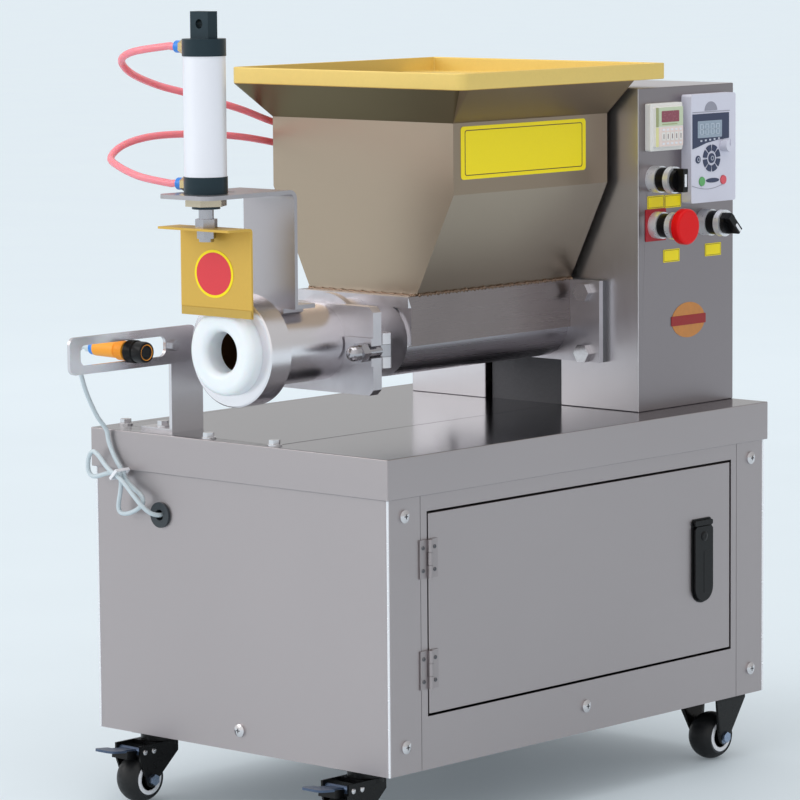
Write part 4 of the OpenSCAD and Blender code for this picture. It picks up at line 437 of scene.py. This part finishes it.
# Painted shade: darker copies of the hopper's steel on its upright sides and on the under faces of its taper
# and its flare, a little less dark on their side faces.
paint("hopper", "hopper_side", lambda p, n: TAPER_Z < p.z < FLARE_Z and abs(n.x) > 0.9)
paint("hopper", "hopper_taper", lambda p, n: p.z < TAPER_Z and n.z < -0.2)
paint("hopper", "hopper_taper_side", lambda p, n: p.z < TAPER_Z and n.z < -0.2 and abs(n.x) > 0.4)
paint("hopper", "hopper_flare", lambda p, n: p.z > FLARE_Z and n.z < -0.2)
paint("hopper", "hopper_flare_side", lambda p, n: p.z > FLARE_Z and n.z < -0.2 and abs(n.x) > 0.4)
paint("hopper", "rim_gold", lambda p, n: p.z > FLARE_Z and n.z > 0.2)
paint("nozzle_body", "plate", lambda p, n: abs(n.y) > 0.7 or p.y > NOZZLE_PLATE_Y)
# The bores of the nozzle body and the neck are coloured dark brown.
paint("nozzle_body", "brown", lambda p, n: math.hypot(p.x, p.z - BORE_Z) < NOZZLE_BORE_R)
# A lighter copy of the barrel's steel on its lower half: painted light.
paint("barrel", "barrel_low", lambda p, n: p.z < BARREL_MID_Z and abs(n.y) < 0.5 and abs(p.y) < BARREL_END)
paint("barrel", "machined", lambda p, n: p.y < -BARREL_END)
paint("barrel", "plate",
      lambda p, n: p.y > BARREL_END or p.y < -BARREL_CAP and (n.y < -0.7 or n.z > 0.7))
paint("barrel", "brown", lambda p, n: p.y < -BARREL_END - 1 and math.hypot(p.x, p.z - BORE_Z) < NECK_BORE_R)
paint("air_fittings", "blue",
      lambda p, n: -40.5 < p.x < -32.2 and p.y < -300 or 133 < p.y < 141 and p.x < -140)
paint("cylinder_caps", "warm_nut",
      lambda p, n: p.z < CYLINDER_NUT_Z and math.hypot(p.x, p.y - CYLINDER_Y) > CYLINDER_NUT_R)
paint("switch_bases", "black_plastic", lambda p, n: 182.1 < p.x < 193.9)
# The tower's right side gets the darker copy of its steel: painted shade.
paint("control_tower", "tower_side", lambda p, n: n.x > 0.7)
paint("caster_brackets", "blue_zinc",
      lambda p, n: abs(abs(p.x) - REAR_CASTER_X) > CHEEK + 0.1
      and math.hypot(p.y - REAR_AXLE_Y, p.z - AXLE_Z) < AXLE_R)
for side, name in SIDES:
    paint("fork_" + name, "blue_zinc",
          lambda p, n: abs(p.x - side * FRONT_CASTER_X) > CHEEK + 0.1
          and math.hypot(p.y - FRONT_AXLE_Y, p.z - AXLE_Z) < AXLE_R)
    paint("brake_pedal_" + name, "black_paint",
          lambda p, n: p.y < PEDAL_PIN_Y - 4.6
          and p.z < PEDAL_PIN_Z + PEDAL_SLOPE * (PEDAL_PIN_Y - p.y) - 0.8)
    for end, y in (("front", FRONT_AXLE_Y), ("rear", REAR_AXLE_Y)):
        paint(f"wheel_{end}_{name}", "hub", lambda p, n: math.hypot(p.y - y, p.z - AXLE_Z) < HUB_R)


# Pieces made for the eye
def put(facing, height, u, v):
    """A place on a flat face: how far out the face lies, and where on it."""
    return {"x": (height, u, v), "-x": (-height, u, v),
            "front": (u, -height, v), "rear": (u, height, v)}[facing]


def rounded(u0, u1, v0, v1, r, steps=5):
    """Corners of a rounded rectangle, anticlockwise."""
    made = []
    for k, (u, v) in enumerate(((u1 - r, v1 - r), (u0 + r, v1 - r), (u0 + r, v0 + r), (u1 - r, v0 + r))):
        for i in range(steps + 1):
            a = math.pi / 2 * (k + i / steps)
            made.append((u + r * math.cos(a), v + r * math.sin(a)))
    return made


def oval(u, v, a, b, steps=48, start=0.0, end=360.0):
    """Points round an oval, or along a part of it between two angles in degrees."""
    turns = [math.radians(start + (end - start) * i / steps) for i in range(steps + (end - start < 360))]
    return [(u + a * math.cos(t), v + b * math.sin(t)) for t in turns]


def closed_rings(rings, steps):
    """Faces that join rings of points one to the next, with a cap at each end."""
    made = []
    for i in range(rings - 1):
        for k in range(steps):
            a, b = i * steps + k, i * steps + (k + 1) % steps
            made.append([a, b, b + steps, a + steps])
    last = (rings - 1) * steps
    return made + [list(range(steps))[::-1], list(range(last, last + steps))]


class Piece:
    """Several small solids with looks of their own, kept as one piece on one body."""

    def __init__(self, name, body, slot):
        self.name, self.body, self.slot = name, body, slot
        self.points, self.faces, self.looks = [], [], []

    def add(self, points, faces, looks):
        start = len(self.points)
        self.points += points
        self.faces += [[start + i for i in face] for face in faces]
        self.looks += [looks] * len(faces) if isinstance(looks, str) else looks

    def slab(self, outline, base, thick, look, facing="x"):
        """A flat plate with this outline, standing on a face."""
        n = len(outline)
        points = [put(facing, h, u, v) for h in (base, base + thick) for u, v in outline]
        faces = [list(range(n, 2 * n)), list(range(n))[::-1]]
        faces += [[i, (i + 1) % n, n + (i + 1) % n, n + i] for i in range(n)]
        self.add(points, faces, look)

    def band(self, outer, inner, base, thick, look, facing="x"):
        """A flat plate between two outlines with as many points."""
        n = len(outer)
        points = [put(facing, h, u, v) for h in (base, base + thick) for u, v in outer + inner]
        faces = []
        for i in range(n):
            k = (i + 1) % n
            faces += [[i, k, 2 * n + k, 2 * n + i], [n + k, n + i, 3 * n + i, 3 * n + k],
                      [2 * n + i, 2 * n + k, 3 * n + k, 3 * n + i], [k, i, n + i, n + k]]
        self.add(points, faces, look)

    def turned(self, profile, middle, looks, facing="x", steps=40):
        """Turns a profile of radius and height; one look, or one for each step of the profile."""
        u, v = middle
        turns = [2 * math.pi * k / steps for k in range(steps)]
        points = [put(facing, h, u + r * math.cos(a), v + r * math.sin(a)) for r, h in profile for a in turns]
        if isinstance(looks, str):
            looks = [looks] * (len(profile) - 1)
        looks = [look for look in looks for _ in range(steps)]
        self.add(points, closed_rings(len(profile), steps), looks + [looks[0], looks[-1]])

    def tube(self, route, radii, look, sides=8):
        """A round bead along a route, with a radius at each point."""
        route = [Vector(p) for p in route]
        points = []
        for i, p in enumerate(route):
            along = (route[min(i + 1, len(route) - 1)] - route[max(i - 1, 0)]).normalized()
            upright = abs(along.z) > 0.9
            aside = (along.orthogonal() if upright else along.cross(Vector((0, 0, 1)))).normalized()
            above = aside.cross(along)
            for k in range(sides):
                a = 2 * math.pi * k / sides
                points.append(tuple(p + radii[i] * (math.cos(a) * aside + math.sin(a) * above)))
        self.add(points, closed_rings(len(route), sides), look)

    def done(self, edge=0.0, replaces=None):
        """Makes the mesh, with edges rounded by so many millimetres, in place of a solid if one is named."""
        mesh = bpy.data.meshes.new(self.name)
        mesh.from_pydata([at(*p) for p in self.points], [], self.faces)
        looks = list(dict.fromkeys(self.looks))
        for look in looks:
            mesh.materials.append(MATERIALS[look])
        mesh.polygons.foreach_set("material_index", [looks.index(look) for look in self.looks])
        shape = bmesh.new()
        shape.from_mesh(mesh)
        bmesh.ops.recalc_face_normals(shape, faces=shape.faces)
        shape.to_mesh(mesh)
        shape.free()
        mesh.shade_smooth()
        mesh.set_sharp_from_angle(angle=math.radians(35))
        made = bpy.data.objects.new(self.name, mesh)
        scene.collection.objects.link(made)
        if edge:
            bevel = made.modifiers.new("edges", "BEVEL")
            bevel.width, bevel.segments, bevel.angle_limit = edge / 1000, 2, math.radians(40)
        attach(made, self.body)
        if replaces:
            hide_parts(replaces)


# Outer faces that carry the pieces below
TOWER_X, DRIVE_X, RELAY_X, SELECTOR_X = 170, 184, 182, 215.4
SIDE_X, END_Y, HOPPER_X, BLADE_Y = 216.4, 318.9, 133.5, 346.7

# Labels, left blank, and the blade's ground edge
hopper_label = Piece("hopper_label", "frame", "gold_trim")
hopper_label.slab(rounded(-107, 102, 273, 330, 4), HOPPER_X, 0.5, "label")
hopper_label.band(rounded(-101, 96, 277, 326, 3), rounded(-100, 95, 277.9, 325.1, 2.4),
                  HOPPER_X + 0.4, 0.3, "label_line")
hopper_label.done()
blade_disc = Piece("blade_disc", "cutter", "red_plastic")
blade_disc.slab(oval(-2.6, 182, 28.4, 25.4), BLADE_Y, 0.5, "label", "front")
blade_disc.slab(oval(-2.6, 182, 25.4, 22.6), BLADE_Y + 0.4, 0.3, "disc_red", "front")
blade_disc.done()
blade_edge = Piece("blade_edge", "cutter", "gold_trim")
blade_edge.slab(rounded(-51.6, 51.6, 136.9, 145.5, 0.5), BLADE_Y, 0.2, "gold_edge", "front")
blade_edge.done()
tower_disc = Piece("tower_disc", "frame", "red_plastic")
tower_disc.slab(oval(239.3, 97.5, 30, 20), TOWER_X, 0.4, "disc_orange")
tower_disc.slab(rounded(208, 270.6, 92, 103, 1), TOWER_X + 0.3, 0.3, "band_red")
tower_disc.done()
tags = Piece("switch_tags", "frame", "gold_trim")
for y, z in ((180.5, 234), (211, 233.5), (208.6, 172.3), (284.3, 174.3)):
    tags.slab(rounded(y - 14.6, y + 14.6, z - 7.2, z + 7.2, 1), TOWER_X, 0.4, "label")
    tags.band(rounded(y - 13.6, y + 13.6, z - 6.3, z + 6.3, 0.8),
              rounded(y - 13.1, y + 13.1, z - 5.8, z + 5.8, 0.5), TOWER_X + 0.35, 0.15, "label_line")
tags.done()

# Speed drive: window with plain digits, key ring, printed shapes and a thin grey line near the top, a painted
# shadow of a groove
drive = Piece("drive_front", "frame", "drive_plastic")
drive.slab([(229, 291), (240, 293.4), (254, 297), (275, 299.8), (295.5, 301), (295.5, 330), (229, 330)],
           DRIVE_X, 0.5, "navy")
drive.slab(rounded(238, 282, 303, 322, 0.8), DRIVE_X + 0.4, 0.4, "lcd")
# The seven strokes of a digit: across, up, width and height
SEGMENTS = ((0, 5.6, 6.5, 1), (0, 0, 6.5, 1), (0, 11.2, 6.5, 1), (0, 0.3, 1, 5.8), (5.5, 0.3, 1, 5.8),
            (0, 6, 1, 5.8), (5.5, 6, 1, 5.8))
for digit in range(4):
    for u, v, w, h in SEGMENTS:
        y, z = 242 + 9.8 * digit + u, 306.4 + v
        drive.slab(rounded(y, y + w, z, z + h, 0.3, 2), DRIVE_X + 0.7, 0.2, "digit")
for k in range(5):
    y, z = 243 + 8 * k, 298.6 + 0.4 * k
    drive.slab(rounded(y, y + 3.4, z, z + 2, 0.4, 2), DRIVE_X + 0.4, 0.2, "mark")
drive.slab(oval(262.5, 333.2, 11.5, 10.2, 24, 0, 180), DRIVE_X, 0.3, "grey_print")
# A thin grey line: painted shadow of a groove.
drive.slab(rounded(229, 297, 331.6, 332.4, 0.2, 2), DRIVE_X, 0.3, "grey_print")
KEY_RING, SIDE_KEY, KEY_TURN = (263.5, 279.5), (239, 279), 35
for k in range(8):
    start = 45 * k + 5
    outer = oval(*KEY_RING, 15.6, 15.2, 6, start, start + KEY_TURN)
    inner = oval(*KEY_RING, 8.6, 8.4, 6, start, start + KEY_TURN)
    drive.slab(outer + inner[::-1], DRIVE_X, 0.9, "navy")
drive.turned([(5.6, DRIVE_X), (5.6, DRIVE_X + 0.9), (5.0, DRIVE_X + 1.4), (2.4, DRIVE_X + 1.5)],
             KEY_RING, "navy")
drive.band(oval(*KEY_RING, 2.6, 2.6, 24), oval(*KEY_RING, 1.9, 1.9, 24), DRIVE_X + 1.4, 0.25, "mark")
drive.turned([(4.4, DRIVE_X), (4.4, DRIVE_X + 0.7), (3.8, DRIVE_X + 1.1)], SIDE_KEY, "navy")
drive.band(oval(*SIDE_KEY, 2.4, 2.6, 24), oval(*SIDE_KEY, 1.7, 1.9, 24), DRIVE_X + 1, 0.25, "mark")
drive.slab(oval(265.5, 254.4, 12, 2.6), DRIVE_X, 0.4, "navy")
swoop = [(DRIVE_X + 0.1, 228 + 2.2 * i, 251 - 6 * math.sin(math.pi * (i + 2) / 31)) for i in range(26)]
drive.tube(swoop, [0.35] * len(swoop), "grey_print", 6)
drive.done()

# Time relay: strip, display and thumbwheels
relay = Piece("relay_front", "frame", "relay_plastic")
relay.slab(rounded(166.3, 170.8, 318.5, 340, 0.6), RELAY_X, 0.4, "olive")
relay.slab(rounded(166.3, 170.8, 296.5, 318, 0.6), RELAY_X, 0.4, "pale_yellow")
relay.slab(rounded(171.6, 214.4, 319, 340, 0.8), RELAY_X, 0.4, "pale_green")
relay.slab(rounded(176, 207, 323.5, 336, 0.8), RELAY_X + 0.3, 0.4, "red_display")
relay.slab(rounded(177, 204, 320.6, 321.6, 0.3, 2), RELAY_X + 0.3, 0.2, "olive")
relay.slab(rounded(171.6, 214.4, 296.5, 318, 0.8), RELAY_X, 0.4, "pink")
for k in range(5):
    y = 176.2 + 7.6 * k
    relay.slab(rounded(y, y + 5.6, 303, 312.4, 0.6, 3), RELAY_X + 0.3, 0.9, "relay")
    relay.slab(rounded(y + 2.2, y + 3.4, 305, 310.4, 0.3, 2), RELAY_X + 1.1, 0.2, "dark_mark")
    for z in (298.6, 314):
        relay.slab(rounded(y + 0.8, y + 4.8, z, z + 2.2, 0.4, 2), RELAY_X + 0.3, 0.6, "white_plain")
relay.done()

# Switches
plate = Piece("stop_plate", "frame", "red_plastic")
plate.slab(rounded(162, 198, 190.5, 226.5, 1.5), TOWER_X, 1.0, "dark_red")
plate.done()
bar = Piece("selector_mark_left", "selector_left", "white_plastic")
bar.slab(rounded(175.2, 178.8, 253, 267, 0.8), SELECTOR_X, 0.5, "white_plain")
bar.done()
bar = Piece("selector_mark_right", "selector_right", "white_plastic")
SLANT = math.sqrt(0.5)
bar.slab([(268 + (u + v) * SLANT, 206.5 + (u - v) * SLANT) for u, v in rounded(-1.7, 1.7, 1, 12.4, 0.8)],
         SELECTOR_X, 0.5, "white_plain")
bar.done()


# Screws, rivets and hub rings
def screw(piece, u, v, base, r, facing):
    """A domed head of radius r with a cross recess, drawn as a thin dark cross on the dome: painted shade."""
    head = [(r, base), (r, base + 0.15 * r), (0.8 * r, base + 0.4 * r), (0.3 * r, base + 0.52 * r)]
    piece.turned(head, (u, v), "dark_screw", facing, 20)
    for w, h in ((0.62 * r, 0.15 * r), (0.15 * r, 0.62 * r)):
        piece.slab(rounded(u - w, u + w, v - h, v + h, 0.05 * r, 2), base + 0.46 * r, 0.08 * r,
                   "recess", facing)


HINGE_Y, HINGE_LEAF = -257.3, 1.7
for name, body, offset in (("hinge_screws_frame", "frame", -9), ("hinge_screws_door", "door", 9)):
    made = Piece(name, body, "zinc_steel")
    for z in (-110.35, -227.65):
        for rise in (-12, 12):
            screw(made, HINGE_Y + offset, z + rise, SIDE_X + HINGE_LEAF, 2.3, "x")
    made.done()
recesses = Piece("screw_recesses", "frame", "zinc_steel")
SCREW_PLACES = [(y, z, SIDE_X, facing) for facing in ("x", "-x")
                for y, z in ((-293.9, -62), (293.9, -62), (-293.9, -305), (293.9, -305), (0, -305))]
SCREW_PLACES += [(0, -311, END_Y, facing) for facing in ("front", "rear")]
# Dark crosses on the panel screws, painted shade for their recesses.
for u, v, base, facing in SCREW_PLACES:
    for w, h in ((2.6, 0.6), (0.6, 2.6)):
        recesses.slab(rounded(u - w, u + w, v - h, v + h, 0.2, 2), base + 3.2, 0.65, "recess", facing)
recesses.done()
for side, name in SIDES:
    rivets = Piece("fork_rivets_" + name, "fork_" + name, "zinc_steel")
    for facing, way in (("x", 1), ("-x", -1)):
        base = way * side * FRONT_CASTER_X + CHEEK
        for y in (PEDAL_PIN_Y, PEDAL_PIN_Y + 13.4):
            head = [(3.2, base), (3.0, base + 0.7), (2.0, base + 1.3), (0.6, base + 1.5)]
            rivets.turned(head, (y, PEDAL_PIN_Z), "zinc", facing, 20)
    rivets.done()
    for end, x, y in (("front", FRONT_CASTER_X, FRONT_AXLE_Y), ("rear", REAR_CASTER_X, REAR_AXLE_Y)):
        rings = Piece(f"hub_rings_{end}_{name}", f"wheel_{end}_{name}", "white_plastic")
        for facing, way in (("x", 1), ("-x", -1)):
            base = way * side * x + HUB
            ring = [(12.8, base), (12.8, base + 0.6), (13.4, base + 1), (16.9, base + 1), (17.5, base + 0.6),
                    (17.5, base)]
            rings.turned(ring, (y, AXLE_Z), "white_plain", facing, 48)
        rings.done()

# Sensor: threaded body, nuts, lens and the cable's gland, in place of its plain solid
SENSOR_AXIS = (-369, 95)
sensor = Piece("length_sensor", "frame", "sensor_orange")
profile, looks = [], []


def stretch(points, look):
    """Adds a stretch of the sensor's outline, as places along it and radii."""
    for x, r in points:
        if profile:
            looks.append(look)
        profile.append((r, x))


stretch([(-175, 3.4), (-175, 4.6), (-168, 5.4), (-166, 7.0)], "cable")
stretch([(-166, 7.4), (-160, 7.8)], "blue")
stretch([(-160, 8.2), (-128, 8.8)], "orange")
for k in range(16):
    stretch([(-128 + 1.25 * k, 8.9), (-127.5 + 1.25 * k, 8.4)], "orange" if k < 13 else "black_plastic")
for k in range(7):
    stretch([(-108 + 1.55 * k, 12.4), (-107.1 + 1.55 * k, 12.4), (-106.9 + 1.55 * k, 11.7)], "black_plastic")
stretch([(-96.9, 10.6), (-95.6, 10.6)], "black_plastic")
stretch([(-95.4, 11.5), (-86, 11.5), (-83.4, 10.9), (-83, 10.2), (-83, 8.6)], "black_plastic")
stretch([(-83.3, 8.4), (-83.3, 7.8)], "orange")
stretch([(-83, 7.6), (-84.5, 6.4), (-84.5, 0.5)], "black_plastic")
sensor.turned(profile, SENSOR_AXIS, looks)
nut = []
for k in range(7):
    nut += [(10.6, -123 + 1.55 * k), (10.6, -122.1 + 1.55 * k), (10.2, -121.9 + 1.55 * k)]
sensor.turned(nut, SENSOR_AXIS, "orange")
sensor.done(replaces="sensor")

# Door latch: a plate with a rounded foot and a pull whose foot tips out from a pin near its top
LATCH_Y, LATCH_CORNER, HANDLE_X = 204, 3, 221


def latch_outline(half, top, low):
    """A flat-topped outline with a round foot, round the latch's middle."""
    foot = [(LATCH_Y + half * math.cos(a), low + half + half * math.sin(a))
            for a in (math.pi + math.pi * i / 20 for i in range(21))]
    inner = half - LATCH_CORNER
    return foot + [(LATCH_Y + half, top - LATCH_CORNER), (LATCH_Y + inner, top), (LATCH_Y - inner, top),
                   (LATCH_Y - half, top - LATCH_CORNER)]


latch = Piece("latch_plate", "door", "black_plastic")
latch.slab(latch_outline(18, -121, -217), SIDE_X, 1.0, "black_plastic")
latch.slab(latch_outline(17, -122, -216), SIDE_X + 0.9, 0.3, "black_plastic")
latch.slab(rounded(188, 220, -129, -123, 2), SIDE_X + 1.1, 3.4, "black_plastic")
latch.done(0.4, "latch_bezel")
latch = Piece("latch_pull_handle", "latch", "black_plastic")
latch.slab(latch_outline(16, -129.8, -215), SIDE_X + 1.5, 3.2, "black_plastic")
lock = [(5.6, HANDLE_X), (5.6, HANDLE_X + 0.5), (5.0, HANDLE_X + 0.9), (2.2, HANDLE_X + 0.9),
        (2.2, HANDLE_X + 0.6), (0.4, HANDLE_X + 0.6)]
latch.turned(lock, (LATCH_Y, -141), "black_plastic", "x", 28)
latch.slab(rounded(203.2, 216.6, -206, -158, 2), HANDLE_X, 0.4, "black_plastic")
latch.done(0.8, "latch_lever")

# Bent corners of the cabinet, drawn as beads of brighter steel than the panels: a painted highlight along
# each corner. Each bead is wide enough to cover the sharp corner.
CORNER_R, CORNER_SINK = 1.35, 0.9
corners = Piece("cabinet_corner_highlights", "frame", "zinc_steel")
panel_low, panel_high = (1000 * Vector(corner) - COVER_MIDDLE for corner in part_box("front_panel"))
rear_y = 1000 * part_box("rear_panel")[1][1] - COVER_MIDDLE.y
for x, inward_x in ((panel_low.x, 1), (panel_high.x, -1)):
    for y, inward_y in ((panel_low.y, 1), (rear_y, -1)):
        route = [(x + CORNER_SINK * inward_x, y + CORNER_SINK * inward_y,
                  panel_low.z + t * (panel_high.z - panel_low.z)) for t in (0, 0.25, 0.5, 0.75, 1)]
        corners.tube(route, [CORNER_R] * len(route), "bright_edge", 16)
corners.done()

# Weld along the hopper's foot: an uneven bead, thinner at the front
WELD_R = 2.0
weld = Piece("hopper_weld", "frame", "hopper_steel")
RIGHT = [(80.4, -118 + 2 * k, 146.4) for k in range(130)]
FRONT = [(-79 + 2 * k, -120.2, 146.2) for k in range(80)]
LEFT = [(-x, y, z) for x, y, z in RIGHT]
ripple = [0.35 * math.sin(2.1 * k) + 0.3 * math.sin(0.83 * k + 1) + 0.2 * math.sin(3.7 * k + 2)
          for k in range(len(RIGHT))]
for route, share in ((RIGHT, 1.0), (LEFT, 1.0), (FRONT, 0.7)):
    weld.tube([(x, y, z + 0.9 * ripple[(k + 7) % len(RIGHT)]) for k, (x, y, z) in enumerate(route)],
              [share * (WELD_R + ripple[k]) for k in range(len(route))], "weld")
weld.done()


# Stage and light
GLOW_NEAR, GLOW_FAR, GLOW_START, GLOW_END = 0.12, 0.29, 0.6, 4.0   # strengths, and distances in metres


def make_floor():
    """A pale floor that glows a little, more so far from the object, as a lit studio ground does."""
    mesh = bpy.data.meshes.new("floor")
    mesh.from_pydata([(-60, -60, 0), (60, -60, 0), (60, 60, 0), (-60, 60, 0)], [], [(0, 1, 2, 3)])
    made = bpy.data.objects.new("floor", mesh)
    scene.collection.objects.link(made)
    paper = Shader("floor_paper")
    tone = paper.noise((3, 3, 3), 2.0)
    paper.link(paper.mix(paper.span(tone, 0, 1), srgb(205, 215, 221), srgb(207, 217, 223)),
               paper.main.inputs["Base Color"])
    paper.main.inputs["Roughness"].default_value = 0.6
    paper.main.inputs["Emission Color"].default_value = (0.76, 0.87, 0.95, 1)
    distance = paper.node("ShaderNodeVectorMath", operation="LENGTH")
    paper.link(paper.place, distance.inputs[0])
    glow = paper.span(distance.outputs["Value"], GLOW_NEAR, GLOW_FAR, GLOW_START, GLOW_END)
    paper.link(glow, paper.main.inputs["Emission Strength"])
    mesh.materials.append(paper.material)


make_floor()


def area_light(name, place, target, size, power):
    data = bpy.data.lights.new(name, "AREA")
    data.shape = "RECTANGLE"
    data.size, data.size_y = size
    data.energy = power
    made = bpy.data.objects.new(name, data)
    scene.collection.objects.link(made)
    made.location = place
    made.rotation_mode = "QUATERNION"
    made.rotation_quaternion = (Vector(target) - Vector(place)).to_track_quat("-Z", "Y")


area_light("key_left", (-2.4, -3.0, 2.4), (0, 0, 0.5), (2.2, 2.2), 34)
area_light("top", (0.2, -0.2, 3.4), (0, 0, 0.3), (2.6, 2.6), 28)


def make_world():
    """Even studio light, paler from the front than from the rear."""
    world = bpy.data.worlds.new("studio")
    scene.world = world
    world.use_nodes = True
    tree = world.node_tree
    nodes, links = tree.nodes, tree.links
    direction = nodes.new("ShaderNodeTexCoord").outputs["Generated"]
    side = nodes.new("ShaderNodeVectorMath")
    side.operation = "DOT_PRODUCT"
    side.inputs[1].default_value = (-0.1, -0.9, 0.4)
    links.new(direction, side.inputs[0])
    spread = nodes.new("ShaderNodeMapRange")
    spread.interpolation_type = "SMOOTHSTEP"
    for key, value in (("From Min", -0.9), ("From Max", 0.9), ("To Min", 0.52), ("To Max", 1.0)):
        spread.inputs[key].default_value = value
    links.new(side.outputs["Value"], spread.inputs["Value"])
    links.new(spread.outputs["Result"], nodes["Background"].inputs["Color"])


make_world()
scene.view_settings.view_transform = "Standard"
